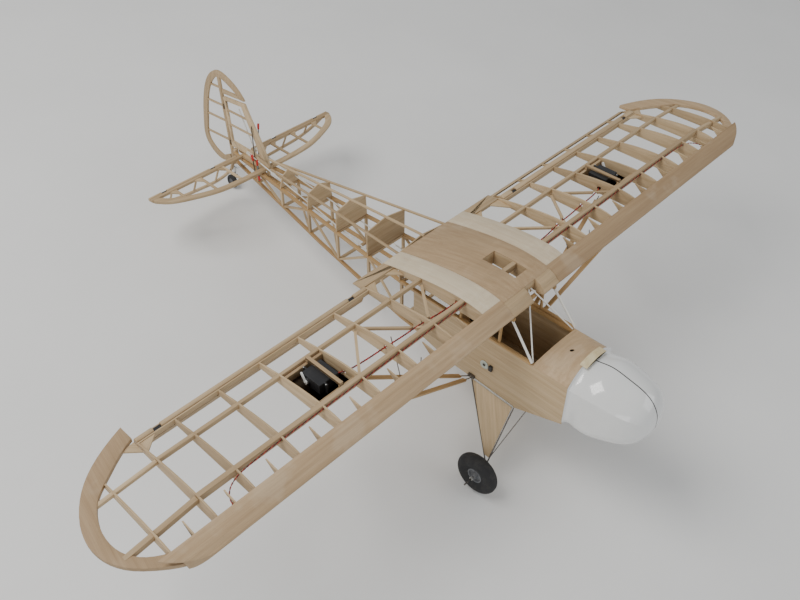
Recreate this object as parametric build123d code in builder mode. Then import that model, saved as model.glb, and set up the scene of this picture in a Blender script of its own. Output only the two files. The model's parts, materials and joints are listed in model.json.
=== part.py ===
"""Built-up balsa model of a high-wing cabin aeroplane, uncovered, standing on its three wheels.

The airframe is drawn level, in its own datum: +X to the pilot's left, -Y to the nose, +Z up, millimetres,
with the origin on the centreline at the top of the wing's main spar. The last step, save(), turns it nose
up by STANCE_ANGLE and lifts it so that its wheels stand on z = 0 with the origin under its middle.
"""
from build123d import *
from math import atan2, degrees, hypot, radians, sin, cos, tan
import os

os.makedirs("parts", exist_ok=True)

# ---------------------------------------------------------------- driving dimensions, mm
# wing
CHORD = 254.0
LEADING_Y = -72.0
TRAILING_Y = LEADING_Y + CHORD
WING_DEPTH = 29.7
SHEET = 1.6
SHEET_EDGE_Y = -42.0
JOINT_X = 61.0
CAP_X = 104.0
RIB_PITCH = 77.0
RIB_THICK = 2.6
FULL_RIBS = [CAP_X + RIB_PITCH * i for i in range(7)]
TIP_RIBS = [628.0, 696.0]
TIP_RIB_SCALE = 0.72
AILERON_IN = FULL_RIBS[1]
AILERON_OUT = TIP_RIBS[0]
HALF_SPAN = 760.0
MAIN_SPAR = (8.0, 12.0)
REAR_SPAR_Y = 94.0
REAR_SPAR = (6.0, 8.0)
FALSE_SPAR_Y = 142.0
FALSE_SPAR_THICK = 2.4
BOW_THICK = 7.0
BOW_Z = -24.0
# control surfaces
AILERON_HINGE_Y = 149.6
AILERON_HINGE_Z = -21.0
AILERON_NOSE = 4.2
AILERON_DROOP_LEFT = 10.0
AILERON_DROOP_RIGHT = 66.0
ELEVATOR_DROOP = 64.0
HINGE_LEAF = 12.0
PIN_R = 0.7
PIN_CLEARANCE = 0.05
# fuselage
SIDE_X = 61.0
SIDE_SHEET = 2.0
FIREWALL_Y = -190.0
SCREEN_Y = -118.0
SILL_Z = -101.0
NOSE_CROWN_Z = -71.0
BELLY = [(-190.0, -190.0), (-112.0, -219.0), (-92.0, -226.0), (51.0, -219.0), (110.0, -205.0)]
SIDE_END_Y = 150.0
LONGERON = 6.0
TAPER_Y = 185.0
TAIL_POST_Y = 748.0
TAIL_HALF = 7.0
# tail
TAIL_Z = -88.0
TAIL_THICK = 6.0
STAB_HINGE_Y = 717.5
STAB_SPAR_Y = 706.0
STAB_HALF = 242.0
ELEVATOR_CHORD = 62.0
RUDDER_HINGE = ((757.6, -105.0), (768.6, 84.0))
# undercarriage
AXLE_Y = -97.0
AXLE_Z = -321.0
WHEEL_X = 155.0
WHEEL_R = 42.0
WHEEL_WIDTH = 25.0
AXLE_R = 1.5
AXLE_END_X = 190.0
TAIL_AXLE_Y = 779.0
TAIL_AXLE_Z = -190.0
TAIL_WHEEL_R = 16.0

# ---------------------------------------------------------------- standing attitude
axle_run = hypot(TAIL_AXLE_Y - AXLE_Y, TAIL_AXLE_Z - AXLE_Z)
STANCE_ANGLE = degrees(
    atan2(TAIL_AXLE_Z - AXLE_Z, TAIL_AXLE_Y - AXLE_Y) + atan2(WHEEL_R - TAIL_WHEEL_R, axle_run)
)
TURN = Location((0, 0, 0), (-STANCE_ANGLE, 0, 0))


def stance_height():
    """Height of the datum origin above the floor."""
    angle = radians(STANCE_ANGLE)
    return WHEEL_R - (AXLE_Z * cos(angle) - AXLE_Y * sin(angle))


MIDDLE_Y = 243.439
STANCE = Location((0, -MIDDLE_Y, stance_height())) * TURN


# ---------------------------------------------------------------- helpers
def save(name, *pieces, pose=Location()):
    """Set the finished pieces of one node in their rest pose, stand them up and write the node."""
    placed = [piece.moved(STANCE * pose) for piece in pieces]
    node = placed[0] if len(placed) == 1 else Compound(children=placed)
    node.label = name
    export_step(node, f"parts/{name}.step")


def both(*pieces):
    """The pieces and their mirror images across the plane of symmetry."""
    return [*pieces, *[mirror(piece, about=Plane.YZ) for piece in pieces]]


def joined(pieces):
    """Pieces that touch or overlap, as one."""
    with BuildPart() as piece:
        for part in pieces:
            add(part)
    return piece.part


def stick(start, end, width, height, cut_by=(), up=(0, 0, 1)):
    """A rectangular stick between two points; height lies as near to up as the stick allows."""
    along = Vector(*end) - Vector(*start)
    side = along.cross(Vector(*up))
    if side.length < 1e-6:
        side = Vector(1, 0, 0)
    with BuildPart() as piece:
        with BuildSketch(Plane(origin=start, x_dir=side, z_dir=along)):
            Rectangle(width, height)
        extrude(amount=along.length)
        for other in cut_by:
            add(other, mode=Mode.SUBTRACT)
    return piece.part


def rod(start, end, radius):
    """A round rod between two points."""
    along = Vector(*end) - Vector(*start)
    with BuildPart() as piece:
        with BuildSketch(Plane(origin=start, z_dir=along)):
            Circle(radius)
        extrude(amount=along.length)
    return piece.part


def bent_wire(points, radius, bend):
    """A round wire of straight runs joined by arcs of one bend radius."""
    with BuildPart() as piece:
        with BuildLine() as path:
            FilletPolyline(*points, radius=bend)
        with BuildSketch(Plane(origin=path.line @ 0, z_dir=path.line % 0)):
            Circle(radius)
        sweep()
    return piece.part


def lead(points, radius):
    """A cord along straight runs joined by arcs as large as the runs allow."""
    corners = []
    for before, here, after in zip(points, points[1:], points[2:]):
        run_in = Vector(*here) - Vector(*before)
        run_out = Vector(*after) - Vector(*here)
        turn = radians(run_in.get_angle(run_out))
        corners.append(0.45 * min(run_in.length, run_out.length) / tan(turn / 2))
    print("lead bend radii, mm:", [round(corner) for corner in corners])
    with BuildPart() as piece:
        with BuildLine() as path:
            FilletPolyline(*points, radius=corners)
        with BuildSketch(Plane(origin=path.line @ 0, z_dir=path.line % 0)):
            Circle(radius)
        sweep()
    return piece.part


def side_plate(outline, x_from, x_to, holes=()):
    """A flat plate cut to an outline of (y, z) points, between two x planes."""
    with BuildPart() as piece:
        with BuildSketch(Plane.YZ.offset(x_from)):
            Polygon(*outline, align=None)
            for centre, radius in holes:
                with Locations(centre):
                    Circle(radius, mode=Mode.SUBTRACT)
        extrude(amount=x_to - x_from)
    return piece.part


def flat_plate(outline, z_from, z_to):
    """A flat plate cut to an outline of (x, y) points, between two heights."""
    with BuildPart() as piece:
        with BuildSketch(Plane.XY.offset(z_from)):
            Polygon(*outline, align=None)
        extrude(amount=z_to - z_from)
    return piece.part


def block(x_range, y_range, z_range):
    """A rectangular block between pairs of limits."""
    with BuildPart() as piece:
        with BuildSketch(Plane.XY.offset(z_range[0])):
            with Locations(((x_range[0] + x_range[1]) / 2, (y_range[0] + y_range[1]) / 2)):
                Rectangle(x_range[1] - x_range[0], y_range[1] - y_range[0])
        extrude(amount=z_range[1] - z_range[0])
    return piece.part


def wing_top(y, scale=1.0):
    """Height of the wing's upper surface at y, for a flat-bottomed section of the chord."""
    t = min(max((y - LEADING_Y) / CHORD, 0.0), 1.0)
    rise = 9.9 * (0.2969 * t**0.5 - 0.126 * t - 0.3516 * t**2 + 0.2843 * t**3 - 0.1015 * t**4)
    return -WING_DEPTH + WING_DEPTH * scale * rise


def lerp(a, b, t):
    """The point a fraction t of the way from a to b."""
    return tuple(p + (q - p) * t for p, q in zip(a, b))


# ---------------------------------------------------------------- wing: spars
def spar_set():
    """The left wing's main, rear and false spars; the first two slope down beyond the last full rib."""
    width, depth = MAIN_SPAR
    knee = TIP_RIBS[0]
    main = block((0, knee), (-width / 2, width / 2), (-depth, 0))
    main_tip = stick((knee, 0, -7.5), (740, 0, BOW_Z + 2.5), width, 9)
    rear_width, rear_depth = REAR_SPAR
    rear_top = wing_top(REAR_SPAR_Y) - 0.4
    rear = block(
        (JOINT_X, knee),
        (REAR_SPAR_Y - rear_width / 2, REAR_SPAR_Y + rear_width / 2),
        (rear_top - rear_depth, rear_top),
    )
    rear_tip = stick((knee, REAR_SPAR_Y, rear_top - 5), (724, REAR_SPAR_Y, BOW_Z + 2.5), rear_width, 6)
    false_top = wing_top(FALSE_SPAR_Y)
    false = block(
        (AILERON_IN - 1.5, knee),
        (FALSE_SPAR_Y, FALSE_SPAR_Y + FALSE_SPAR_THICK),
        (-WING_DEPTH + 1.5, false_top),
    )
    return [main, main_tip], [rear, rear_tip], false


main_left, rear_left, false_left = spar_set()

# ---------------------------------------------------------------- wing: leads, needed by the ribs
LIGHT_LEAD_R = 1.1
LIGHT_LEAD = [
    (62, -5.6, -5), (120, -5.6, -4.6), (180, -5.6, -5.2), (240, -5.6, -4.8), (300, -5.6, -5.3),
    (360, -5.6, -4.9), (420, -5.6, -5.2), (480, -5.6, -4.8), (535, -6, -5.2), (569, -8.5, -6),
    (588, -15, -9), (599, -29, -12), (601, -44, -13),
]
SERVO_LEAD_R = 1.3
SERVO_LEAD = [
    (347.6, 45, -20), (341, 40, -20), (330, 33, -18), (300, 27, -15), (262, 24, -13), (222, 22, -14.5),
    (182, 20, -13), (145, 16, -14.5), (108, 13, -13), (64, 12, -15),
]
lead_holes = [
    rod(lerp(a, b, -0.2), lerp(a, b, 1.2), radius)
    for route, radius in ((LIGHT_LEAD[:10], 2.2), (SERVO_LEAD[1:], 3.6))
    for a, b in zip(route, route[1:])
]


# ---------------------------------------------------------------- wing: ribs and riblets
def rib(x, front, back, scale=1.0, thick=RIB_THICK, cutters=()):
    """One wing rib between two y limits, cut for the spars and leads it crosses."""
    span = back - front
    crest = [(front + span * i / 10, wing_top(front + span * i / 10, scale)) for i in range(11)]
    with BuildPart() as piece:
        with BuildSketch(Plane.YZ.offset(x - thick / 2)):
            with BuildLine():
                Spline(*crest)
                Polyline(crest[-1], (back, -WING_DEPTH), (front, -WING_DEPTH), crest[0])
            make_face()
        extrude(amount=thick)
        for other in cutters:
            add(other, mode=Mode.SUBTRACT)
    return piece.part


def riblet(x):
    """A short pointed rib between the main ribs, behind the leading edge."""
    tip_y = -17.0
    outline = [
        (-60, -WING_DEPTH + 3), (-60, wing_top(-60)), (SHEET_EDGE_Y, wing_top(SHEET_EDGE_Y)),
        (tip_y, wing_top(tip_y) - 0.8), (tip_y, wing_top(tip_y) - 1.8), (SHEET_EDGE_Y, -WING_DEPTH + 6),
    ]
    return side_plate(outline, x - 1, x + 1)


spar_cutters = [*main_left, *rear_left]
rib_cutters = [*spar_cutters, *lead_holes]
ribs_left = [rib(x, -62, FALSE_SPAR_Y, cutters=rib_cutters) for x in FULL_RIBS if x != AILERON_IN]
ribs_left.append(rib(AILERON_IN - 2.9, -62, TRAILING_Y - 26, cutters=rib_cutters))
ribs_left.append(rib(TIP_RIBS[0] - 1.3, -62, FALSE_SPAR_Y, cutters=rib_cutters))
ribs_left.append(rib(TIP_RIBS[1], -44, 128, scale=TIP_RIB_SCALE, cutters=rib_cutters))
bays = list(zip([*FULL_RIBS, *TIP_RIBS], [*FULL_RIBS[1:], *TIP_RIBS]))
riblets_left = [riblet((a + b) / 2) for a, b in bays[:8]]


# ---------------------------------------------------------------- wing: leading edge and tip
def leading_section(x_from, x_to):
    """The rounded leading edge with the strip of sheeting behind it, solid at the nose."""
    top = [(y, wing_top(y) + SHEET) for y in (SHEET_EDGE_Y, -50, -58, -64, -69)]
    inner = [(y, wing_top(y) - 0.2) for y in (-60, -51, SHEET_EDGE_Y)]
    with BuildPart() as piece:
        with BuildSketch(Plane.YZ.offset(x_from)):
            with BuildLine():
                Spline(*top, (LEADING_Y, -21), (-69.5, -27.5), (-63, -WING_DEPTH))
                Line((-63, -WING_DEPTH), (-62, -WING_DEPTH))
                Line((-62, -WING_DEPTH), inner[0])
                Spline(*inner)
                Line(inner[-1], top[0])
            make_face()
        extrude(amount=x_to - x_from)
    return piece.part


def trim_leading(section):
    """Cut a leading edge to the curve of the wing tip."""
    with BuildPart() as piece:
        add(section)
        with BuildSketch(Plane.XY.offset(-60)):
            with BuildLine():
                Spline((600, LEADING_Y - 4), (650, -73), (690, -61.5), (710, -48), (720, -37))
                Polyline((720, -37), (760, -37), (760, -90), (600, -90), (600, LEADING_Y - 4))
            make_face()
        extrude(amount=90, mode=Mode.SUBTRACT)
    return piece.part


leading_left = trim_leading(leading_section(JOINT_X + 0.4, 718))


def cut(piece, cutters):
    """A piece with others cut out of it."""
    with BuildPart() as result:
        add(piece)
        for other in cutters:
            add(other, mode=Mode.SUBTRACT)
    return result.part


def tip_bow():
    """The flat laminated bow round the left wing tip, from the leading edge to the aileron's end."""
    outer = [
        (658, -71.5), (690, -60.5), (723, -36), (745, -12), (HALF_SPAN - 1, 20), (HALF_SPAN, 56), (743, 100),
        (714, 136), (673, 164), (629, 183),
    ]
    inner = [
        (629, 155), (656, 142), (688, 121), (715, 100), (731, 75), (740, 40), (737, 10), (724, -13),
        (703, -30), (662, -44),
    ]
    with BuildPart() as piece:
        with BuildSketch(Plane.XY.offset(BOW_Z)):
            with BuildLine():
                Spline(*outer)
                Line(outer[-1], inner[0])
                Spline(*inner)
                Line(inner[-1], outer[0])
            make_face()
        extrude(amount=BOW_THICK)
        add(leading_left, mode=Mode.SUBTRACT)
        for spar in (main_left[1], rear_left[1]):
            add(spar, mode=Mode.SUBTRACT)
    return piece.part


def largest(part):
    """The biggest solid of a part, without the offcuts."""
    return sorted(part.solids(), key=lambda solid: solid.volume)[-1]


bow_left = largest(tip_bow())
ribs_left = [largest(cut(piece, [leading_left, bow_left])) for piece in ribs_left]
lead_room = [rod(a, b, LIGHT_LEAD_R + 2.5) for a, b in zip(LIGHT_LEAD[8:], LIGHT_LEAD[9:])]
riblets_left = [largest(cut(piece, [leading_left, bow_left, *lead_room])) for piece in riblets_left]
rear_left[1] = largest(cut(rear_left[1], [bow_left]))
main_left[1] = largest(cut(main_left[1], [bow_left]))


# ---------------------------------------------------------------- wing: zigzag braces, trailing edge, gussets
def brace(rear_x, front_x):
    """One stick of the zigzag between the rear and main spars."""
    rear_y = REAR_SPAR_Y - REAR_SPAR[0] / 2 - 0.2
    front_y = MAIN_SPAR[0] / 2 + 0.2
    inset = 5.0 if front_x > rear_x else -5.0
    start = (rear_x + inset, rear_y - 3, -21)
    end = (front_x - inset, front_y + 3, -12)
    return stick(start, end, 4.5, 4.5, cut_by=[*spar_cutters, *lead_holes])


zigzag = [(FULL_RIBS[0], FULL_RIBS[1]), (FULL_RIBS[2], FULL_RIBS[1]), (FULL_RIBS[2], FULL_RIBS[3])]
braces_left = [cut(brace(rear_x, front_x), ribs_left) for rear_x, front_x in zigzag]


def fixed_trailing_edge():
    """The trailing edge between the centre section and the aileron, with its gussets."""
    strip = side_plate(
        [
            (156, -WING_DEPTH), (156, wing_top(156)), (TRAILING_Y, -WING_DEPTH + 1.6),
            (TRAILING_Y, -WING_DEPTH),
        ],
        JOINT_X + 0.4,
        AILERON_IN - 1.6,
    )
    inner_gusset = flat_plate([(CAP_X + 1.5, 155.8), (CAP_X + 1.5, 132), (CAP_X + 24, 155.8)], -27, -24.6)
    outer_gusset = flat_plate([(176.6, 155.8), (176.6, 120), (152, 155.8)], -27, -24.6)
    return [strip, inner_gusset, outer_gusset]


edge_strip, *edge_gussets = fixed_trailing_edge()
edge_gussets = [largest(cut(piece, ribs_left)) for piece in edge_gussets]
tip_gusset = flat_plate([(600, 141.8), (626, 141.8), (626, 120)], -23, -20.6)
bow_gusset = cut(flat_plate([(629.6, 150), (629.6, 126), (652, 147)], -23, -20.6), [bow_left])
tip_gussets_left = [largest(cut(tip_gusset, ribs_left)), largest(bow_gusset)]

# ---------------------------------------------------------------- wing: centre section
NOTCH_X = (-8.0, 22.0)
WELL_X = (-4.0, 28.0)
WELL_Y = (-26.0, 45.0)
BLOCK_BACK_Y = -48.2
FORMER_THICK = 3.0


def top_sheet(x_from, x_to, y_from=SHEET_EDGE_Y + 0.2, y_to=TRAILING_Y, wells=False):
    """Sheeting that lies on the ribs and follows the wing's upper surface."""
    steps = [y_from + (y_to - y_from) * i / 12 for i in range(13)]
    lower = [(y, wing_top(y)) for y in steps]
    upper = [(y, wing_top(y) + SHEET) for y in reversed(steps)]
    with BuildPart() as piece:
        with BuildSketch(Plane.YZ.offset(x_from)):
            with BuildLine():
                Spline(*lower)
                Line(lower[-1], upper[0])
                Spline(*upper)
                Line(upper[-1], lower[0])
            make_face()
        extrude(amount=x_to - x_from)
        if wells:
            with BuildSketch(Plane.XY.offset(-10)):
                with Locations((sum(WELL_X) / 2, sum(WELL_Y) / 2)):
                    Rectangle(WELL_X[1] - WELL_X[0], WELL_Y[1] - WELL_Y[0])
            extrude(amount=20, mode=Mode.SUBTRACT)
    return piece.part


centre_cutters = both(*main_left)
centre_sheet = top_sheet(-JOINT_X, JOINT_X, y_from=BLOCK_BACK_Y + 0.1, wells=True)
centre_sheet = cut(centre_sheet, centre_cutters)
caps_left = cut(top_sheet(JOINT_X + 0.5, CAP_X + 2), spar_cutters)
ribs_left = [cut(ribs_left[0], [caps_left]), *ribs_left[1:]]
fixed_edge_left = [cut(edge_strip, [caps_left]), *edge_gussets]
centre_rib_x = (-JOINT_X + 1.5, WELL_X[0] - 1.5, WELL_X[1] + 1.5, JOINT_X - 1.5)
centre_ribs = [
    piece
    for x in centre_rib_x
    for piece in rib(x, -45, TRAILING_Y - 12, thick=3, cutters=centre_cutters).solids()
]
well_walls = [
    block((WELL_X[0] + 0.05, WELL_X[1] - 0.05), (y, y + 2.4), (-WING_DEPTH, wing_top(y + 2.4) - 0.1))
    for y in (WELL_Y[0] - 2.4, WELL_Y[1])
]
centre_former = block(
    (-JOINT_X, JOINT_X),
    (BLOCK_BACK_Y + 0.1, BLOCK_BACK_Y + 0.1 + FORMER_THICK),
    (-WING_DEPTH, wing_top(BLOCK_BACK_Y) - 0.1),
)
centre_trailing = side_plate(
    [(TRAILING_Y - 11.8, -WING_DEPTH), (TRAILING_Y - 11.8, wing_top(TRAILING_Y - 11.8)),
     (TRAILING_Y, wing_top(TRAILING_Y)), (TRAILING_Y, -WING_DEPTH)],
    -JOINT_X,
    JOINT_X,
)


def leading_block(x_from, x_to):
    """A solid leading-edge block of the centre section."""
    top = [(y, wing_top(y) + SHEET) for y in (BLOCK_BACK_Y, -55, -62, -69)]
    with BuildPart() as piece:
        with BuildSketch(Plane.YZ.offset(x_from)):
            with BuildLine():
                Spline(*top, (LEADING_Y, -21), (-69.5, -27.5), (-63, -WING_DEPTH))
                Polyline((-63, -WING_DEPTH), (BLOCK_BACK_Y, -WING_DEPTH), top[0])
            make_face()
        extrude(amount=x_to - x_from)
    return piece.part


leading_blocks = [leading_block(-JOINT_X, NOTCH_X[0]), leading_block(NOTCH_X[1], JOINT_X)]
former_and_ribs = [cut(piece, leading_blocks) for piece in [*centre_ribs, *well_walls]]
rear_bridge = block(
    (-JOINT_X + 0.2, JOINT_X - 0.2),
    (REAR_SPAR_Y - 3, REAR_SPAR_Y + 3),
    (wing_top(REAR_SPAR_Y) - 9, wing_top(REAR_SPAR_Y) - 0.4),
)
centre_ribs = [
    solid
    for piece in former_and_ribs
    for solid in cut(piece, [rear_bridge, centre_former, centre_trailing, centre_sheet]).solids()
]
centre_sheet = cut(centre_sheet, [rear_bridge])

# ---------------------------------------------------------------- ailerons
HINGE_STATIONS = (AILERON_IN + 34, AILERON_OUT - 36)


def hinge_gap(x):
    """The slot in a control surface's nose where a hinge leaf sits, at its own origin."""
    return (x - HINGE_LEAF / 2 - 0.6, x + HINGE_LEAF / 2 + 0.6)


def aileron():
    """The left aileron, level: round nose, ribs, trailing strip and its two hinge pins."""
    x_in = AILERON_IN + 0.8
    x_out = AILERON_OUT - 1.0
    with BuildPart() as nose:
        with BuildSketch(Plane.YZ.offset(x_in)):
            with Locations((AILERON_HINGE_Y, AILERON_HINGE_Z)):
                Circle(AILERON_NOSE)
            with Locations((AILERON_HINGE_Y + 3, AILERON_HINGE_Z)):
                Rectangle(6, 2 * AILERON_NOSE)
        extrude(amount=x_out - x_in)
        for station in HINGE_STATIONS:
            low, high = hinge_gap(station)
            add(
                block(
                    (low, high),
                    (AILERON_HINGE_Y - 6, AILERON_HINGE_Y + 3.2),
                    (AILERON_HINGE_Z - 6, AILERON_HINGE_Z + 6),
                ),
                mode=Mode.SUBTRACT,
            )
    front = AILERON_HINGE_Y + 6
    back = TRAILING_Y - 10
    ribs = [
        side_plate(
            [(front, -25), (front, -17), (back, -23), (back, -26.5)],
            min(max(x, x_in + 1), x_out - 1) - 1,
            min(max(x, x_in + 1), x_out - 1) + 1,
        )
        for x in [*FULL_RIBS[1:], TIP_RIBS[0]]
    ]
    strip = side_plate([(back, -26.5), (back, -23), (TRAILING_Y, -26.3), (TRAILING_Y, -27.5)], x_in, x_out)
    pins = [
        rod(
            (hinge_gap(station)[0], AILERON_HINGE_Y, AILERON_HINGE_Z),
            (hinge_gap(station)[1], AILERON_HINGE_Y, AILERON_HINGE_Z),
            PIN_R,
        )
        for station in HINGE_STATIONS
    ]
    return [nose.part, *ribs, strip, *pins]


def leaf(centre, edge_direction, hinge_axis=(1, 0, 0), reach=5.4):
    """A fixed hinge leaf: a barrel round the hinge pin and a tongue back to the spar."""
    axis = Vector(*hinge_axis).normalized()
    middle = Vector(*centre)
    back = Vector(*edge_direction).normalized()
    start = middle - axis * (HINGE_LEAF / 2)
    with BuildPart() as piece:
        with BuildSketch(Plane(origin=start, x_dir=back, z_dir=axis)):
            Circle(1.7)
            with Locations((reach / 2, 0)):
                Rectangle(reach, 1.2)
            Circle(PIN_R + PIN_CLEARANCE, mode=Mode.SUBTRACT)
        extrude(amount=HINGE_LEAF)
    return piece.part


def turn_about(point, axis, angle):
    """A rotation by an angle about a line through a point."""
    plane = Plane(origin=point, z_dir=axis)
    return plane.location * Location((0, 0, 0), (0, 0, angle)) * plane.location.inverse()


AILERON_AXIS_POINT = (0, AILERON_HINGE_Y, AILERON_HINGE_Z)
reach_to_spar = AILERON_HINGE_Y - FALSE_SPAR_Y - FALSE_SPAR_THICK
aileron_left = aileron()
aileron_right = [mirror(piece, about=Plane.YZ) for piece in aileron_left]
aileron_leaves = [
    leaf((x, AILERON_HINGE_Y, AILERON_HINGE_Z), (0, -1, 0), reach=reach_to_spar) for x in HINGE_STATIONS
]

# ---------------------------------------------------------------- aileron servos
SERVO_X = (349.5, 387.5)
SERVO_Y = (32.0, 72.0)
SERVO_Z = (-26.6, -6.6)
SHAFT_Y = 60.0
SHAFT_Z = -16.6
TRAY_TOP = -26.8


def servo_tray():
    """The plywood tray between two ribs with its end bearers and the bar that holds the servo down."""
    rib_in, rib_out = FULL_RIBS[3], FULL_RIBS[4]
    inner, outer = rib_in + RIB_THICK / 2 + 0.05, rib_out - RIB_THICK / 2 - 0.05
    plate = block((inner, outer), (10, 88), (TRAY_TOP - 2, TRAY_TOP))
    bearers = [block((inner, outer), (y, y + 5), (TRAY_TOP, TRAY_TOP + 14)) for y in (10, 83)]
    bar = block((360, 366), (10, 88), (-6.4, -1.4))
    posts = [block((360, 366), (y, y + 5), (TRAY_TOP + 14, -6.4)) for y in (10, 83)]
    return [plate, *bearers, bar, *posts]


def servo_body(x_range, y_range, z_range):
    """A standard servo lying on its side: case, mounting lugs and the boss round its shaft."""
    lug_x = x_range[1] - 10
    with BuildPart() as piece:
        with BuildSketch(Plane.XY.offset(z_range[0])):
            with Locations((sum(x_range) / 2, sum(y_range) / 2)):
                Rectangle(x_range[1] - x_range[0], y_range[1] - y_range[0])
            with Locations((lug_x, sum(y_range) / 2)):
                Rectangle(2.5, y_range[1] - y_range[0] + 14)
        extrude(amount=z_range[1] - z_range[0])
        with BuildSketch(Plane.YZ.offset(x_range[1])):
            with Locations((SHAFT_Y, SHAFT_Z)):
                Circle(6)
        extrude(amount=2)
    return piece.part


def servo_arm(direction=(0, 0.5, 0.87), length=15.0):
    """A servo arm on its shaft, with the link hole near its end."""
    base = SERVO_X[1] + 2.3
    angle = degrees(atan2(direction[2], direction[1]))
    with BuildPart() as piece:
        with BuildSketch(Plane.YZ.offset(base)):
            with Locations((SHAFT_Y, SHAFT_Z)):
                Circle(4)
            with Locations(Location((SHAFT_Y, SHAFT_Z), angle)):
                with Locations((length / 2, 0)):
                    Rectangle(length, 4.5)
                with Locations((length, 0)):
                    Circle(2.25)
                with Locations((length - 1, 0)):
                    Circle(0.8, mode=Mode.SUBTRACT)
        extrude(amount=2.2)
    return piece.part


servo_left = servo_body(SERVO_X, SERVO_Y, SERVO_Z)
arm_left = servo_arm()
tray_left = servo_tray()
light_lead_left = lead(LIGHT_LEAD, LIGHT_LEAD_R)
servo_lead_left = lead(SERVO_LEAD, SERVO_LEAD_R)

# ---------------------------------------------------------------- write the wing
main_spar, main_tip = main_left
save("main_spars", joined(both(main_spar)), *both(main_tip))
save("rear_spars", *both(*rear_left), rear_bridge)
save("false_spars", *both(false_left))
save("left_ribs", *ribs_left)
save("right_ribs", *[mirror(piece, about=Plane.YZ) for piece in ribs_left])
save("riblets", *both(*riblets_left))
save("leading_edges", *both(leading_left))
save("tip_bows", *both(bow_left))
save("wing_braces", *both(*braces_left))
save("fixed_trailing_edges", *both(*fixed_edge_left, *tip_gussets_left))
save("centre_sheet", centre_sheet)
save("root_caps", *both(caps_left))
save("centre_ribs", *centre_ribs, centre_former, centre_trailing)
save("centre_leading_blocks", *leading_blocks)
save("servo_trays", *both(*tray_left))
save("aileron_servos", *both(servo_left))
save("left_servo_arm", arm_left)
save("right_servo_arm", mirror(arm_left, about=Plane.YZ))
save("light_leads", *both(light_lead_left))
save("servo_leads", *both(servo_lead_left))
save(
    "left_aileron",
    *aileron_left,
    pose=turn_about(AILERON_AXIS_POINT, (1, 0, 0), -AILERON_DROOP_LEFT),
)
save(
    "right_aileron",
    *aileron_right,
    pose=turn_about(AILERON_AXIS_POINT, (1, 0, 0), -AILERON_DROOP_RIGHT),
)

# ---------------------------------------------------------------- nose: firewall, deck, cowl
CROWN_RISE = NOSE_CROWN_Z - SILL_Z
COWL_FRONT_Y = -322.0
COWL_AXIS_Z = -132.0
COWL_WALL = 1.2
SEAM_GAP = 0.9


def arch_profile(grow=0.0):
    """The nose's cross-section at the firewall as a closed sketch: arched crown, upright sides."""
    side = SIDE_X + grow
    bottom = BELLY[0][1] - grow
    with BuildSketch() as profile:
        with BuildLine():
            ThreePointArc((-side, SILL_Z), (0, NOSE_CROWN_Z + grow), (side, SILL_Z))
            Polyline((side, SILL_Z), (side, bottom), (-side, bottom), (-side, SILL_Z))
        make_face()
    return profile.sketch


def nose_band(outer, inner, y_from, y_to, keep_above):
    """A band of the arched crown between two offsets of the nose profile."""
    with BuildPart() as piece:
        with BuildSketch(Plane(origin=(0, y_to, 0), x_dir=(1, 0, 0), z_dir=(0, -1, 0))):
            add(arch_profile(outer))
            add(arch_profile(inner), mode=Mode.SUBTRACT)
            with Locations((0, keep_above - 100)):
                Rectangle(300, 200, mode=Mode.SUBTRACT)
        extrude(amount=y_to - y_from)
    return piece.part


DECK_HOLE_R = 4.0
DECK_HOLE_Y = -152.0
SCREEN_CROWN_Z = -97.5


def deck_band(y, crown):
    """The nose deck's section at y: a thin arch from side to side, as high as the crown."""
    foot = SIDE_X - SIDE_SHEET
    with BuildSketch(Plane(origin=(0, y, 0), x_dir=(1, 0, 0), z_dir=(0, -1, 0))) as band:
        with BuildLine():
            ThreePointArc((-SIDE_X, SILL_Z), (0, crown), (SIDE_X, SILL_Z))
            Line((SIDE_X, SILL_Z), (foot, SILL_Z))
            ThreePointArc((foot, SILL_Z), (0, crown - SIDE_SHEET), (-foot, SILL_Z))
            Line((-foot, SILL_Z), (-SIDE_X, SILL_Z))
        make_face()
    return band.sketch.face()


with BuildPart() as deck_blank:
    loft(sections=[deck_band(FIREWALL_Y, NOSE_CROWN_Z), deck_band(SCREEN_Y, SCREEN_CROWN_Z)])
deck_fall = (NOSE_CROWN_Z - SCREEN_CROWN_Z) / (SCREEN_Y - FIREWALL_Y)
deck_hole_at = Vector(0, DECK_HOLE_Y, NOSE_CROWN_Z - deck_fall * (DECK_HOLE_Y - FIREWALL_Y))
deck_normal = Vector(0, deck_fall, 1).normalized() * 8
deck_hole = rod(tuple(deck_hole_at - deck_normal), tuple(deck_hole_at + deck_normal), DECK_HOLE_R)
nose_deck = cut(deck_blank.part, [deck_hole])
ENGINE_PCD = 44.0
ENGINE_HOLE_R = 1.6
with BuildPart() as firewall:
    with BuildSketch(Plane(origin=(0, FIREWALL_Y, 0), x_dir=(1, 0, 0), z_dir=(0, -1, 0))):
        add(arch_profile(-SIDE_SHEET - 0.2))
        with Locations((0, COWL_AXIS_Z)):
            Circle(7, mode=Mode.SUBTRACT)
            with PolarLocations(ENGINE_PCD / 2, 4, start_angle=45):
                Circle(ENGINE_HOLE_R, mode=Mode.SUBTRACT)
    extrude(amount=-4)

firewall_board = largest(cut(firewall.part, [nose_deck]))
COWL_DROOP = 3.0
COWL_STATIONS = [
    (-190.5, 1.0), (-225, 0.985), (-258, 0.93), (-286, 0.83), (-305, 0.66), (-315.5, 0.45), (-320.3, 0.26),
]


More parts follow.
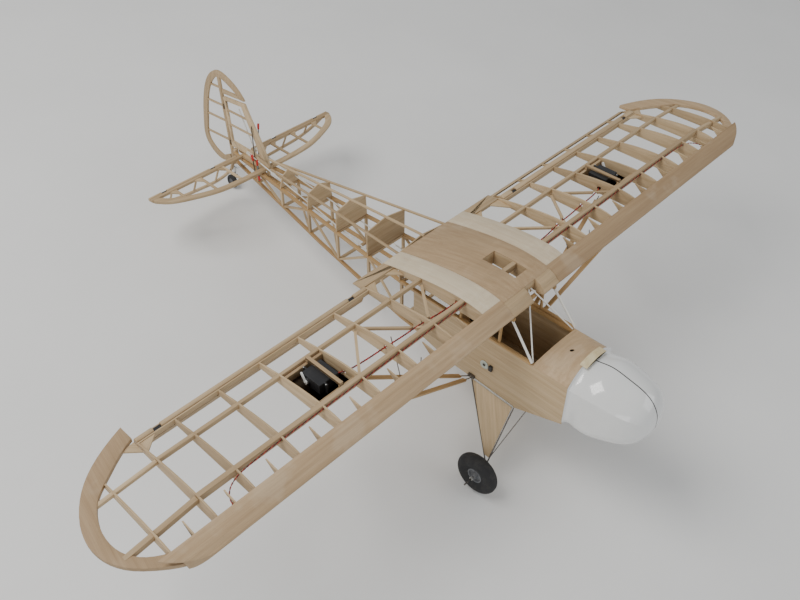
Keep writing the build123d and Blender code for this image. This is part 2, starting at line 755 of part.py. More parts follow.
def cowl_section(y, scale, inset):
    """One cross-section of the cowl, shrunk about its axis, as a closed sketch on its own plane."""
    side = (SIDE_X + 1.4) * scale - inset
    crown = COWL_AXIS_Z + (NOSE_CROWN_Z + 1.4 - COWL_AXIS_Z) * scale - inset
    shoulder = COWL_AXIS_Z + (SILL_Z - COWL_AXIS_Z) * scale
    droop = COWL_DROOP * min(1.0, (FIREWALL_Y - y) / 70.0) * scale
    keel = COWL_AXIS_Z + (BELLY[0][1] - 1.4 - COWL_AXIS_Z) * scale - droop + inset
    corner = 12.0 + 26.0 * min(1.0, (FIREWALL_Y - y) / 100.0)
    corner = min(corner * scale, 0.8 * (shoulder - keel))
    with BuildSketch(Plane(origin=(0, y, 0), x_dir=(1, 0, 0), z_dir=(0, -1, 0))) as section:
        with BuildLine():
            ThreePointArc((-side, shoulder), (0, crown), (side, shoulder))
            Line((side, shoulder), (side, keel + corner))
            ThreePointArc(
                (side, keel + corner),
                (side - corner * (1 - 0.7071), keel + corner * (1 - 0.7071)),
                (side - corner, keel),
            )
            Line((side - corner, keel), (corner - side, keel))
            ThreePointArc(
                (corner - side, keel),
                (corner * (1 - 0.7071) - side, keel + corner * (1 - 0.7071)),
                (-side, keel + corner),
            )
            Line((-side, keel + corner), (-side, shoulder))
        make_face()
    return section.sketch


def cowl_body(inset):
    """The cowl's solid shape, out to its domed nose, shrunk inwards by an inset."""
    back = 1.0 if inset else 0.0
    sections = [
        cowl_section(y + (inset if index else back), scale, inset).face()
        for index, (y, scale) in enumerate(COWL_STATIONS)
    ]
    with BuildPart() as piece:
        loft(sections=[*sections, Vertex(0, COWL_FRONT_Y + inset, COWL_AXIS_Z - 5)])
    return piece.part


cowl_right_room = block((SEAM_GAP / 2 - 100, SEAM_GAP / 2), (-340, -150), (-260, 0))
cowl_left = cut(cowl_body(0.0), [cowl_body(COWL_WALL), cowl_right_room])
tape_strip = nose_band(2.1, 1.7, FIREWALL_Y - 9, FIREWALL_Y + 5, NOSE_CROWN_Z - 3.2)
save("cowl_left", cowl_left)
save("cowl_right", mirror(cowl_left, about=Plane.YZ))
save("cowl_tape", tape_strip)
save("firewall", firewall_board)
save("nose_deck", nose_deck)

# ---------------------------------------------------------------- cabin
side_outline = [
    (FIREWALL_Y, SILL_Z), (SCREEN_Y, SILL_Z), (SIDE_END_Y, SILL_Z), (SIDE_END_Y, -196),
    *reversed(BELLY[1:]), BELLY[0],
]
side_left = side_plate(side_outline, SIDE_X - SIDE_SHEET, SIDE_X)
side_left = cut(side_left, [nose_deck])
belly_inner = [(y, z + SIDE_SHEET) for y, z in reversed(BELLY)]
belly = side_plate([*BELLY, *belly_inner], -SIDE_X + SIDE_SHEET + 0.05, SIDE_X - SIDE_SHEET - 0.05)
belly = cut(belly, [firewall.part])
SILL = 5.0
RAIL_X = 55.5
RAIL_Z = -WING_DEPTH - 3.2
UPPER_Z = SILL_Z - 3.0


def cabin_frame():
    """Window posts, wing rails and the radio tray inside the cabin."""
    rail = stick((RAIL_X, -70, RAIL_Z), (RAIL_X, 176, RAIL_Z), 6, 6)
    sill = stick((SIDE_X + 0.1, SCREEN_Y + 3, SILL_Z + 2.1), (SIDE_X + 0.1, SIDE_END_Y, SILL_Z + 2.1), 4, 4)
    posts = [
        stick((SIDE_X - 3, y, SILL_Z + 4.3), (RAIL_X + 0.5, y, RAIL_Z - 3.2), 5, 4, up=(0, 1, 0))
        for y in (-46, 40, 128)
    ]
    return [cut(piece, leading_blocks) for piece in both(rail, sill, *posts)]


TRAY_Z = -177.0
radio_tray = block((-SIDE_X + 2.1, SIDE_X - 2.1), (20, 100), (TRAY_Z, TRAY_Z + 3))
bulkhead = block((-SIDE_X + 2.1, SIDE_X - 2.1), (SCREEN_Y - 3, SCREEN_Y), (-212, SILL_Z - 0.2))
cross_rails = [
    stick((-RAIL_X + 3.1, y, RAIL_Z), (RAIL_X - 3.1, y, RAIL_Z), 6, 5) for y in (-56, 170)
]
save("cabin_sides", *both(side_left))
save("belly_sheet", belly)
frame_pieces = cabin_frame()
save("cabin_frame", *frame_pieces, radio_tray, bulkhead, *cross_rails)

screen_base = (SIDE_X - 1.0, SCREEN_Y + 1.5, SILL_Z + 4.4)
side_tube = rod(screen_base, (56, -63, -31.5), 2.2)
thin_tube = rod((SIDE_X - 5.5, SCREEN_Y + 2.5, SILL_Z + 1.8), (9.5, -50.2, -17), 1.3)
thin_tube_right = rod((-SIDE_X + 5.5, SCREEN_Y + 2.5, SILL_Z + 1.8), (4.5, -50.2, -17), 1.3)
tubes = [
    largest(cut(tube, [*frame_pieces, *leading_blocks]))
    for tube in (*both(side_tube), thin_tube, thin_tube_right)
]
save("windscreen_tubes", *tubes)

# ---------------------------------------------------------------- rear fuselage
FRAME_Y = [185.0, 281.0, 377.0, 471.0, 565.0, 655.0]
UPPER_KNEE_Y = 281.0
LOWER_KNEE_Y = 436.0


def half_width(y):
    """Half the fuselage's width over the longerons' centres at y."""
    if y < TAPER_Y:
        return SIDE_X - SIDE_SHEET - LONGERON / 2 - 0.1
    slope = (SIDE_X - 5 - TAIL_HALF) / (TAIL_POST_Y - TAPER_Y)
    return SIDE_X - 5.1 - slope * (y - TAPER_Y)


def upper_z(y):
    """Height of the upper longerons' centre at y."""
    rise = max(0.0, y - UPPER_KNEE_Y) * (TAIL_Z - 7 - UPPER_Z) / (TAIL_POST_Y - UPPER_KNEE_Y)
    return UPPER_Z + rise


def lower_z(y):
    """Height of the lower longerons' centre at y."""
    if y < LOWER_KNEE_Y:
        return -200.0 + (y - 112.0) * 37.0 / (LOWER_KNEE_Y - 112.0)
    return -163.0 + (y - LOWER_KNEE_Y) * 51.0 / (TAIL_POST_Y - LOWER_KNEE_Y)


def longeron_run(height, stations):
    """A longeron of the left side through some stations, in straight lengths."""
    points = [(half_width(y), y, height(y)) for y in stations]
    return [stick(a, b, LONGERON, LONGERON) for a, b in zip(points, points[1:])]


upper_left = longeron_run(upper_z, (SCREEN_Y + 0.5, TAPER_Y, UPPER_KNEE_Y, TAIL_POST_Y - 6))
lower_left = longeron_run(lower_z, (112, TAPER_Y, LOWER_KNEE_Y, TAIL_POST_Y - 6))


upper_left = joined(upper_left)
lower_left = largest(cut(joined(lower_left), [belly, side_left]))
longerons = both(upper_left, lower_left)


def frame_stick(start, end, cutters, thick=5.0):
    """A truss stick between two longeron centres, cut back to their faces."""
    return largest(stick(start, end, thick, thick, cut_by=cutters))


uprights = []
diagonals = []
for y in FRAME_Y:
    foot = (half_width(y), y, lower_z(y))
    head = (half_width(y), y, upper_z(y))
    uprights.append(frame_stick(foot, head, [upper_left, lower_left]))
for index, (a, b) in enumerate(zip(FRAME_Y, FRAME_Y[1:])):
    low, high = (a, b) if index % 2 == 0 else (b, a)
    start = (half_width(low), low, lower_z(low))
    end = (half_width(high), high, upper_z(high))
    diagonals.append(frame_stick(start, end, [upper_left, lower_left, *uprights], thick=4.0))
trusses = both(*uprights, *diagonals)
cross_members = []
for y in FRAME_Y:
    for height in (upper_z, lower_z):
        start = (-half_width(y), y, height(y))
        end = (half_width(y), y, height(y))
        cross_members.append(frame_stick(start, end, [*longerons, *trusses]))
for a, b in zip(FRAME_Y, FRAME_Y[1:5]):
    start = (-half_width(a), a, lower_z(a))
    end = (half_width(b), b, lower_z(b))
    cross_members.append(frame_stick(start, end, [*longerons, *trusses, *cross_members], thick=4.0))

DECK_FRONT_Y = 183.0
DECK_END_Y = 625.0
DECK_STRINGER = 4.0


def ridge_z(y):
    """Height of the turtledeck's ridge stringer."""
    return -28.0 - 0.083 * (y - 194.0)


def shoulder_at(y):
    """The turtledeck's side stringer, as (x, z)."""
    return 59.0 - 0.113 * (y - 206.0), -38.0 - 0.087 * (y - 206.0)


def stringer(start, end, cutters=()):
    """A light square stringer of the turtledeck."""
    return stick(start, end, DECK_STRINGER, DECK_STRINGER, cut_by=cutters)


def shoulder_point(y):
    """The side stringer's point at y."""
    x, z = shoulder_at(y)
    return (x, y, z)


ridge_stringer = stringer((0, DECK_FRONT_Y, ridge_z(DECK_FRONT_Y)), (0, DECK_END_Y, ridge_z(DECK_END_Y)))
shoulder_stringer = stringer(shoulder_point(DECK_FRONT_Y), shoulder_point(DECK_END_Y - 20))
stringers = [ridge_stringer, *both(shoulder_stringer)]


def deck_former(y):
    """One turtledeck former, notched for the stringers and drilled for the pushrods."""
    base = upper_z(y) + LONGERON / 2 + 0.1
    wide = half_width(y) + 2.5
    side_x, side_z = shoulder_at(y)
    with BuildPart() as piece:
        with BuildSketch(Plane(origin=(0, y + 1.2, 0), x_dir=(1, 0, 0), z_dir=(0, -1, 0))):
            Polygon(
                (-wide, base), (wide, base), (side_x, side_z), (0, ridge_z(y)), (-side_x, side_z), align=None
            )
        extrude(amount=2.4)
        for other in (*stringers, *both(pushrod_room)):
            add(other, mode=Mode.SUBTRACT)
    return largest(piece.part)


PUSH_R = 1.3
PUSH_START = (36.0, 58.0, -147.0)
PUSH_END = (12.0, 670.0, -70.5)
pushrod_room = rod(PUSH_START, PUSH_END, PUSH_R + 1.4)
deck_formers = [deck_former(y) for y in FRAME_Y[1:5]]
rear_former = deck_former(FRAME_Y[0] + 4)
save("longerons", *longerons)
save("side_trusses", *trusses)
save("cross_members", *cross_members)
save("deck_formers", *deck_formers, rear_former)
save("deck_stringers", *stringers)

# ---------------------------------------------------------------- tail surfaces
def spline_strip(outer, inner, z_from, z_to):
    """A curved flat strip between an outer and an inner (x, y) curve."""
    with BuildPart() as piece:
        with BuildSketch(Plane.XY.offset(z_from)):
            with BuildLine():
                Spline(*outer)
                Line(outer[-1], inner[-1])
                Spline(*reversed(inner))
                Line(inner[0], outer[0])
            make_face()
        extrude(amount=z_to - z_from)
    return piece.part


def upright_strip(outer, inner, thick=TAIL_THICK):
    """A curved strip in the plane of symmetry between an outer and an inner (y, z) curve."""
    with BuildPart() as piece:
        with BuildSketch(Plane.YZ.offset(-thick / 2)):
            with BuildLine():
                Spline(*outer)
                Line(outer[-1], inner[-1])
                Spline(*reversed(inner))
                Line(inner[0], outer[0])
            make_face()
        extrude(amount=thick)
    return piece.part


TAIL_LOW = TAIL_Z - TAIL_THICK / 2
TAIL_HIGH = TAIL_Z + TAIL_THICK / 2
STAB_SPAR_BACK = 713.0
STAB_RIBS = (66.0, 124.0, 186.0)
STAB_HINGES = (84.0, 206.0)
ELEVATOR_NOSE = 3.0


def stabiliser():
    """The left half of the stabiliser, without the spar and root plate that run across."""
    outer = [(12, 629.5), (66, 630), (124, 636), (184, 657), (228, 684), (240, STAB_SPAR_Y)]
    inner = [(12, 641), (66, 641.5), (119, 647), (175, 666), (214, 690), (226, STAB_SPAR_Y)]
    edge = spline_strip(outer, inner, TAIL_LOW, TAIL_HIGH)
    ribs = [
        largest(cut(block((x - 2.5, x + 2.5), (635, STAB_SPAR_Y), (TAIL_LOW + 1, TAIL_HIGH - 1)), [edge]))
        for x in STAB_RIBS
    ]
    gussets = [
        largest(
            cut(
                flat_plate([(x + 2.6, STAB_SPAR_Y), (x + 14, STAB_SPAR_Y), (x + 2.6, STAB_SPAR_Y - 14)],
                           TAIL_LOW + 1, TAIL_HIGH - 1),
                [edge],
            )
        )
        for x in STAB_RIBS
    ]
    return [edge, *ribs, *gussets]


def elevator():
    """The left half of the elevator, level: round nose, ribs, curved trailing strip, pins."""
    x_in, x_out = 22.0, STAB_HALF
    nose_y = STAB_HINGE_Y
    back = nose_y + ELEVATOR_CHORD
    with BuildPart() as nose:
        with BuildSketch(Plane.YZ.offset(x_in)):
            with Locations((nose_y, TAIL_Z)):
                Circle(ELEVATOR_NOSE)
            with Locations((nose_y + 2.5, TAIL_Z)):
                Rectangle(5, 2 * ELEVATOR_NOSE)
        extrude(amount=x_out - x_in)
        for station in STAB_HINGES:
            add(
                block(hinge_gap(station), (nose_y - 4, nose_y + 2.6), (TAIL_Z - 4, TAIL_Z + 4)),
                mode=Mode.SUBTRACT,
            )
    front = nose_y + 5
    outer = [(24, back - 14), (44, back), (110, back + 2), (190, back - 12), (230, front + 16), (241, front)]
    inner = [
        (31, back - 20), (50, back - 8), (110, back - 7), (182, back - 20), (217, front + 12), (227, front),
    ]
    edge = spline_strip(outer, inner, TAIL_Z - 2, TAIL_Z + 2)
    root = block((x_in, x_in + 7), (front, back - 18.5), (TAIL_Z - 2, TAIL_Z + 2))
    ribs = [
        largest(cut(block((x - 2, x + 2), (front, back - 2), (TAIL_Z - 1.5, TAIL_Z + 1.5)), [edge]))
        for x in STAB_RIBS
    ]
    pins = [
        rod((hinge_gap(x)[0], nose_y, TAIL_Z), (hinge_gap(x)[1], nose_y, TAIL_Z), PIN_R) for x in STAB_HINGES
    ]
    return [nose.part, edge, largest(cut(root, [edge])), *ribs, *pins]


stab_left = stabiliser()
stab_spar = block((-STAB_HALF, STAB_HALF), (STAB_SPAR_Y, STAB_SPAR_BACK), (TAIL_LOW, TAIL_HIGH))
stab_root = block((-11.5, 11.5), (630, STAB_SPAR_Y), (TAIL_LOW, TAIL_HIGH))
elevator_left = elevator()
joiner = rod((-22, STAB_HINGE_Y + 2.6, TAIL_Z - 0.2), (22, STAB_HINGE_Y + 2.6, TAIL_Z - 0.2), 1.3)


def hinge_y(z):
    """The rudder hinge line's y at a height."""
    (low_y, low_z), (high_y, high_z) = RUDDER_HINGE
    return low_y + (high_y - low_y) * (z - low_z) / (high_z - low_z)


FIN_TOP_Z = 38.0
FIN_BASE_Z = TAIL_HIGH + 0.2
RUDDER_NOSE = 3.0


def fin():
    """The fin: swept leading blade, post, two ribs, top rib and base."""
    blade = upright_strip(
        [(630, FIN_BASE_Z + 14), (654, -20), (681, 28), (688, 42)],
        [(655, FIN_BASE_Z + 14), (676, -20), (697, 24), (703, 39.4)],
        thick=5.0,
    )
    gap = RUDDER_NOSE + 1.0
    post = side_plate(
        [
            (hinge_y(FIN_BASE_Z + 14) - gap - 6, FIN_BASE_Z + 14),
            (hinge_y(FIN_BASE_Z + 14) - gap, FIN_BASE_Z + 14), (hinge_y(32) - gap, 32),
            (hinge_y(32) - gap - 6, 33),
        ],
        -2.5,
        2.5,
    )
    base = side_plate(
        [
            (628, FIN_BASE_Z), (hinge_y(FIN_BASE_Z) - gap, FIN_BASE_Z),
            (hinge_y(FIN_BASE_Z + 14) - gap, FIN_BASE_Z + 14), (630, FIN_BASE_Z + 14),
        ],
        -2.5,
        2.5,
    )
    top = side_plate(
        [(689, 41.5), (hinge_y(32) - gap - 6, 33), (hinge_y(25) - gap - 6, 25), (689, 33)], -2.5, 2.5
    )
    ribs = [
        largest(cut(stick((0, 650, z + 2), (0, 770, z - 4), 3.5, 3.5), [blade, post])) for z in (6.0, -28.0)
    ]
    return [blade, post, base, largest(cut(top, [blade, post])), *ribs]


def rudder():
    """The rudder: round-nosed post, horn over the fin, curved edge, ribs and foot gusset."""
    (low_y, low_z), (high_y, high_z) = RUDDER_HINGE
    foot = (0, hinge_y(-132), -132)
    head = (0, hinge_y(80), 80)
    post = rod(foot, head, RUDDER_NOSE)
    spine = stick((0, foot[1] + 3.5, foot[2]), (0, head[1] + 3.5, head[2]), 5, 4.2, up=(0, 1, 0))
    outer = [
        (688, 48), (704, 65), (735, 82), (773, 88), (806, 66), (834, 14), (853, -62), (853, -108),
        (836, -128), (797, -139),
    ]
    inner = [
        (703, 47), (716, 57), (742, 69), (771, 74), (795, 57), (821, 9), (839, -62), (841, -101),
        (826, -117), (795, -127),
    ]
    edge = cut(upright_strip(outer, inner, thick=4.5), [post, spine])
    foot_strip = side_plate([(768, -131), (797, -139), (795, -127), (768, -112)], -2.25, 2.25)
    horn = side_plate([(703.2, 47), (762, 40), (762, 49), (711, 53)], -2.25, 2.25)
    ribs = [
        largest(cut(stick((0, 764, z + 2), (0, 850, z - 5), 3.5, 3.5), [edge, spine, post]))
        for z in (48.0, 6.0, -30.0, -76.0)
    ]
    return [post, spine, edge, foot_strip, horn, *ribs]


fin_pieces = fin()
rudder_raw = rudder()
RUDDER_AXIS = Vector(0, hinge_y(1) - hinge_y(0), 1).normalized()
RUDDER_HINGES = (-78.0, 8.0)
rudder_post, rudder_spine, rudder_edge, *rudder_rest = rudder_raw


def rudder_slots():
    """Room in the rudder's nose for the hinge leaves, and the pins across it."""
    slots = []
    pins = []
    for z in RUDDER_HINGES:
        half = HINGE_LEAF / 2 + 0.6
        low = Vector(0, hinge_y(z), z) - RUDDER_AXIS * half
        high = Vector(0, hinge_y(z), z) + RUDDER_AXIS * half
        slots.append(stick(tuple(low), tuple(high), 8, 6.6, up=(0, 1, 0)))
        pins.append(rod(tuple(low), tuple(high), PIN_R))
    return slots, pins


slots, rudder_pins = rudder_slots()
rudder_post = cut(rudder_post, slots)
rudder_spine = largest(cut(rudder_spine, [rudder_post, *slots]))
rudder_rest = [largest(cut(piece, [rudder_post, rudder_spine, rudder_edge])) for piece in rudder_rest]
rudder_pieces = [*rudder_post.solids(), rudder_spine, *rudder_edge.solids(), *rudder_rest, *rudder_pins]
stab_leaves = both(
    *[leaf((x, STAB_HINGE_Y, TAIL_Z), (0, -1, 0), reach=STAB_HINGE_Y - STAB_SPAR_BACK) for x in STAB_HINGES]
)
rudder_leaves = [
    leaf((0, hinge_y(z), z), (0, -1, 0), hinge_axis=tuple(RUDDER_AXIS), reach=3.9) for z in RUDDER_HINGES
]
tail_post = side_plate(
    [(TAIL_POST_Y - 5, TAIL_LOW - 0.1), (TAIL_POST_Y + 4, TAIL_LOW - 0.1), (TAIL_POST_Y + 1, -117),
     (TAIL_POST_Y - 5, -117)],
    -4,
    4,
)
rudder_foot_plate = block((-11, 11), (STAB_SPAR_BACK + 8, TAIL_POST_Y + 2), (TAIL_HIGH - 2, TAIL_HIGH))
tail_post = cut(tail_post, longerons)
save("stabiliser", *both(*stab_left), stab_spar, stab_root)
save(
    "elevator",
    *both(*elevator_left),
    joiner,
    pose=turn_about((0, STAB_HINGE_Y, TAIL_Z), (1, 0, 0), -ELEVATOR_DROOP),
)
save("fin", *fin_pieces, tail_post)
save("rudder", *rudder_pieces)
save("control_hinges", *both(*aileron_leaves), *stab_leaves, *rudder_leaves)

# ---------------------------------------------------------------- undercarriage
LEG_R = 1.2
leg_front = (SIDE_X - 2.5, -92.0, -230.0)
leg_rear = (SIDE_X - 2.5, 6.0, -224.0)
leg_foot = (132.0, AXLE_Y, AXLE_Z)
GEAR_BRACKET_T = 3.0


def gear_wires():
    """The left leg: front and rear wires, the forward brace and the axle they carry."""
    axle = rod((leg_foot[0] - 4, AXLE_Y, AXLE_Z), (AXLE_END_X, AXLE_Y, AXLE_Z), AXLE_R)
    front = rod(leg_front, leg_foot, LEG_R)
    rear = rod(leg_rear, (leg_foot[0] - 2, AXLE_Y + 1.2, AXLE_Z), LEG_R)
    brace_foot = Vector(*leg_front) + (Vector(*leg_foot) - Vector(*leg_front)) * 0.86
    brace_wire = rod((SIDE_X - 6, -116, -221.5), tuple(brace_foot), 0.8)
    with BuildPart() as legs:
        add(axle)
        add(front)
        add(rear)
        add(brace_wire)
        add(belly, mode=Mode.SUBTRACT)
    return legs.part


def gear_fairing():
    """The triangular balsa fairing between the two leg wires."""
    inset = 2.2
    top_front = Vector(*leg_front) + Vector(0, inset + 1, 0)
    top_rear = Vector(*leg_rear) - Vector(0, inset, 0)
    foot = Vector(*leg_foot)
    front_low = foot + (top_front - foot) * 0.13 + Vector(0, 1.0, 0)
    rear_low = foot + (top_rear - foot) * 0.13 - Vector(0, 1.2, 0)
    corners = [top_front, top_rear, rear_low, front_low]
    normal = (top_rear - top_front).cross(front_low - top_front).normalized()
    plane = Plane(origin=top_front - normal, x_dir=top_rear - top_front, z_dir=normal)
    flat = [plane.to_local_coords(corner) for corner in corners]
    with BuildPart() as piece:
        with BuildSketch(plane):
            Polygon(*[(corner.X, corner.Y) for corner in flat], align=None)
        extrude(amount=2)
    return piece.part


gear_left = largest(gear_wires())
fairing_left = largest(cut(gear_fairing(), [gear_left, belly]))
bracket = stick(
    (SIDE_X + 1.0, leg_front[1], leg_front[2] + 6), (SIDE_X + 1.0, leg_rear[1], leg_rear[2] + 6), 1.8, 4.5
)
collars = [
    cut(
        rod((x, AXLE_Y, AXLE_Z), (x + 4, AXLE_Y, AXLE_Z), 3.4),
        [rod((x - 1, AXLE_Y, AXLE_Z), (x + 5, AXLE_Y, AXLE_Z), AXLE_R)],
    )
    for x in (WHEEL_X - WHEEL_WIDTH / 2 - 5.0, WHEEL_X + WHEEL_WIDTH / 2 + 1.0)
]


def wheel(centre, radius, width, hub_r, bore_r):
    """A soft tyre and the hub inside it, on an axle along X."""
    bead = width * 0.30
    middle = Plane(origin=centre, x_dir=(1, 0, 0), z_dir=(0, -1, 0))
    with BuildPart() as tyre:
        with BuildSketch(middle):
            with BuildLine():
                Polyline((-bead, hub_r), (-width / 2, hub_r + (radius - hub_r) * 0.45))
                ThreePointArc(
                    (-width / 2, hub_r + (radius - hub_r) * 0.45), (0, radius),
                    (width / 2, hub_r + (radius - hub_r) * 0.45),
                )
                Polyline((width / 2, hub_r + (radius - hub_r) * 0.45), (bead, hub_r), (-bead, hub_r))
            make_face()
        revolve(axis=Axis(centre, (1, 0, 0)))
    with BuildPart() as hub:
        with BuildSketch(middle):
            with BuildLine():
                Polyline(
                    (-width * 0.48, bore_r), (-width * 0.48, hub_r * 0.32), (-width * 0.16, hub_r * 0.4),
                    (-width * 0.16, hub_r * 0.82), (-bead * 1.15, hub_r * 0.88), (-bead * 1.15, hub_r),
                    (bead * 1.15, hub_r), (bead * 1.15, hub_r * 0.88), (width * 0.16, hub_r * 0.82),
                    (width * 0.16, hub_r * 0.4), (width * 0.48, hub_r * 0.32), (width * 0.48, bore_r),
                    close=True,
                )
            make_face()
        revolve(axis=Axis(centre, (1, 0, 0)))
    return tyre.part, hub.part


HUB_R = 15.0
main_tyre, main_hub = wheel((WHEEL_X, AXLE_Y, AXLE_Z), WHEEL_R, WHEEL_WIDTH, HUB_R, AXLE_R + PIN_CLEARANCE)
TAIL_AXLE_R = 1.0
TAIL_WIDTH = 11.0
tail_tyre, tail_hub = wheel(
    (0, TAIL_AXLE_Y, TAIL_AXLE_Z), TAIL_WHEEL_R, TAIL_WIDTH, 7.0, TAIL_AXLE_R + PIN_CLEARANCE
)
save("gear_wires", *both(gear_left))
save("gear_fairings", *both(fairing_left))
save("gear_fittings", *both(bracket, *collars))
save("left_tyre", main_tyre)
save("left_hub", main_hub)
save("right_tyre", mirror(main_tyre, about=Plane.YZ))
save("right_hub", mirror(main_hub, about=Plane.YZ))
save("tail_tyre", tail_tyre)
save("tail_hub", tail_hub)

# ---------------------------------------------------------------- tail wheel bracket and swivelling fork
SWIVEL_Y = 763.0
SWIVEL_LOW, SWIVEL_HIGH = -157.0, -143.0
with BuildPart() as tail_bracket:
    add(stick((0, TAIL_POST_Y - 28, -120.6), (0, SWIVEL_Y - 6, -146), 9, 1.6))
    add(rod((0, SWIVEL_Y, SWIVEL_LOW + 1), (0, SWIVEL_Y, SWIVEL_HIGH - 1), 3.0))
    add(block((-4.5, 4.5), (SWIVEL_Y - 8, SWIVEL_Y), (-147, -145.4)))
    add(rod((0, SWIVEL_Y, -170), (0, SWIVEL_Y, -130), 1.0 + PIN_CLEARANCE), mode=Mode.SUBTRACT)
FORK_X = 8.0
fork_wire = bent_wire(
    [(0, SWIVEL_Y, SWIVEL_HIGH + 1), (0, SWIVEL_Y, SWIVEL_LOW - 7), (FORK_X, SWIVEL_Y + 4, -170),
     (FORK_X, TAIL_AXLE_Y, TAIL_AXLE_Z)],
    1.0,
    2.4,
)
fork_axle = rod(
    (FORK_X + 0.8, TAIL_AXLE_Y, TAIL_AXLE_Z), (-TAIL_WIDTH / 2 - 3, TAIL_AXLE_Y, TAIL_AXLE_Z), TAIL_AXLE_R
)
with BuildPart() as tail_fork:
    add(fork_wire)
    add(fork_axle)
    add(rod((0, SWIVEL_Y, SWIVEL_LOW - 2), (0, SWIVEL_Y, SWIVEL_LOW + 0.6), 2.2))
save("tail_bracket", tail_bracket.part)
save("tail_fork", tail_fork.part)

# ---------------------------------------------------------------- wing struts
STRUT_FOOT = (66.5, 3.0, -214.0)
FRONT_STRUT_HEAD = (340.0, -44.0, -WING_DEPTH - 2.5)
REAR_STRUT_HEAD = (330.0, 30.0, -WING_DEPTH - 2.5)


def strut(foot, head):
    """A flat-section wooden strut with a wire fitting at each end."""
    wood = stick(lerp(foot, head, 0.09), lerp(foot, head, 0.97), 8, 4, up=(0, 0, 1))
    lower = rod(lerp(foot, head, 0.0), lerp(foot, head, 0.1), 1.0)
    upper = rod(lerp(foot, head, 0.96), head, 1.0)
    return wood, lower, upper


front_wood, front_low, front_high = strut((66.5, 0.0, -214.0), FRONT_STRUT_HEAD)
rear_wood, rear_low, rear_high = strut((66.5, 6.0, -214.0), REAR_STRUT_HEAD)
jury = [
    rod(lerp(STRUT_FOOT, FRONT_STRUT_HEAD, 0.62), (225, -20, -WING_DEPTH - 0.3), 0.8),
    rod(lerp(STRUT_FOOT, REAR_STRUT_HEAD, 0.62), (225, 46, -WING_DEPTH - 0.3), 0.8),
]
jury = [largest(cut(wire, [front_wood, rear_wood])) for wire in jury]
fittings = [cut(wire, [front_wood, rear_wood]) for wire in (front_low, front_high, rear_low, rear_high)]
foot_plate = block((SIDE_X + 0.1, SIDE_X + 5), (-4, 10), (-217, -211))
foot_plate = cut(foot_plate, [bracket])
fittings = [largest(cut(wire, [foot_plate])) for wire in fittings]
save("wing_struts", *both(front_wood, rear_wood))
save("strut_fittings", *both(*fittings, foot_plate, *jury))

# ---------------------------------------------------------------- radio gear in the cabin
SHAFT_X = 22.0
RADIO_SHAFT_Y = 64.0
SERVO_TOP = TRAY_Z + 22.0
ARM_Z = SERVO_TOP + 2.3
ARM_REACH = 14.0
servo_cases = [block((SHAFT_X - 10, SHAFT_X + 10), (34, 74), (TRAY_Z + 3.1, SERVO_TOP))]
servo_bosses = [rod((SHAFT_X, RADIO_SHAFT_Y, SERVO_TOP), (SHAFT_X, RADIO_SHAFT_Y, SERVO_TOP + 2), 6)]


def cabin_arm():
    """The left servo's arm, on an upright shaft in the cabin and pointing outwards."""
    with BuildPart() as piece:
        with BuildSketch(Plane.XY.offset(ARM_Z)):
            with Locations((SHAFT_X, RADIO_SHAFT_Y)):
                Circle(4.5)
            with Locations((SHAFT_X + ARM_REACH / 2, RADIO_SHAFT_Y)):
                Rectangle(ARM_REACH, 4.5)
            with Locations((SHAFT_X + ARM_REACH, RADIO_SHAFT_Y)):
                Circle(2.25)
        extrude(amount=2.2)
    return piece.part


def pushrod():
    """The left pushrod with the forked clevis on its tail end."""
    end = Vector(*PUSH_END)
    along = (end - Vector(*PUSH_START)).normalized()
    socket_end = end + along * 7
    with BuildPart() as piece:
        add(rod(PUSH_START, PUSH_END, PUSH_R))
        add(stick(tuple(end - along * 3), tuple(socket_end), 4.4, 4.4))
    side = along.cross(Vector(0, 0, 1)).normalized()
    for sign in (-1, 1):
        start = socket_end + side * (1.6 * sign) - along * 0.5
        piece.part = piece.part.fuse(stick(tuple(start), tuple(start + along * 12), 1.2, 4.4))
    return piece.part


rudder_arm = cabin_arm()
rudder_pushrod = pushrod()
switch_body = block((SIDE_X + 0.1, SIDE_X + 5), (-41, -34), (-171, -160))
plug = rod((SIDE_X + 0.1, -22, -168), (SIDE_X + 1.6, -22, -168), 9)
save("radio_servos", *both(*servo_cases, *servo_bosses))
save("elevator_servo_arm", mirror(rudder_arm, about=Plane.YZ))
save("rudder_servo_arm", rudder_arm)
save("elevator_pushrod", mirror(rudder_pushrod, about=Plane.YZ))
save("rudder_pushrod", rudder_pushrod)
save("charge_switch", mirror(switch_body, about=Plane.YZ), mirror(plug, about=Plane.YZ))
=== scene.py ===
"""Looks for the uncovered balsa cabin aeroplane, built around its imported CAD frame."""
import bmesh
import bpy
import json
import math
import random
from mathutils import Matrix, Vector


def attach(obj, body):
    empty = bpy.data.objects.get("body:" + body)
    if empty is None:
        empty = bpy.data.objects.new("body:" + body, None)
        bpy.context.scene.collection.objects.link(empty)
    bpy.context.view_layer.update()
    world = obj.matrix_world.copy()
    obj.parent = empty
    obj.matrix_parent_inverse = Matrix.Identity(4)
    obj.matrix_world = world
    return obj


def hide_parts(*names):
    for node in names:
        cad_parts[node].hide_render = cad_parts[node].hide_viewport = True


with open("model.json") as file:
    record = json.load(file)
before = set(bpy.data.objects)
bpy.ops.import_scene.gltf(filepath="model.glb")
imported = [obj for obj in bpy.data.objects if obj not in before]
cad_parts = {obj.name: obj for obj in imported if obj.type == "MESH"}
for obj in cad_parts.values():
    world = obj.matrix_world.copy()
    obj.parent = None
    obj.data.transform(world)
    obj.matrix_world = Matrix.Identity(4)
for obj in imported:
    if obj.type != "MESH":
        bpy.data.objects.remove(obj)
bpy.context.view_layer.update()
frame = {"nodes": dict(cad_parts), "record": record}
random.seed(7)

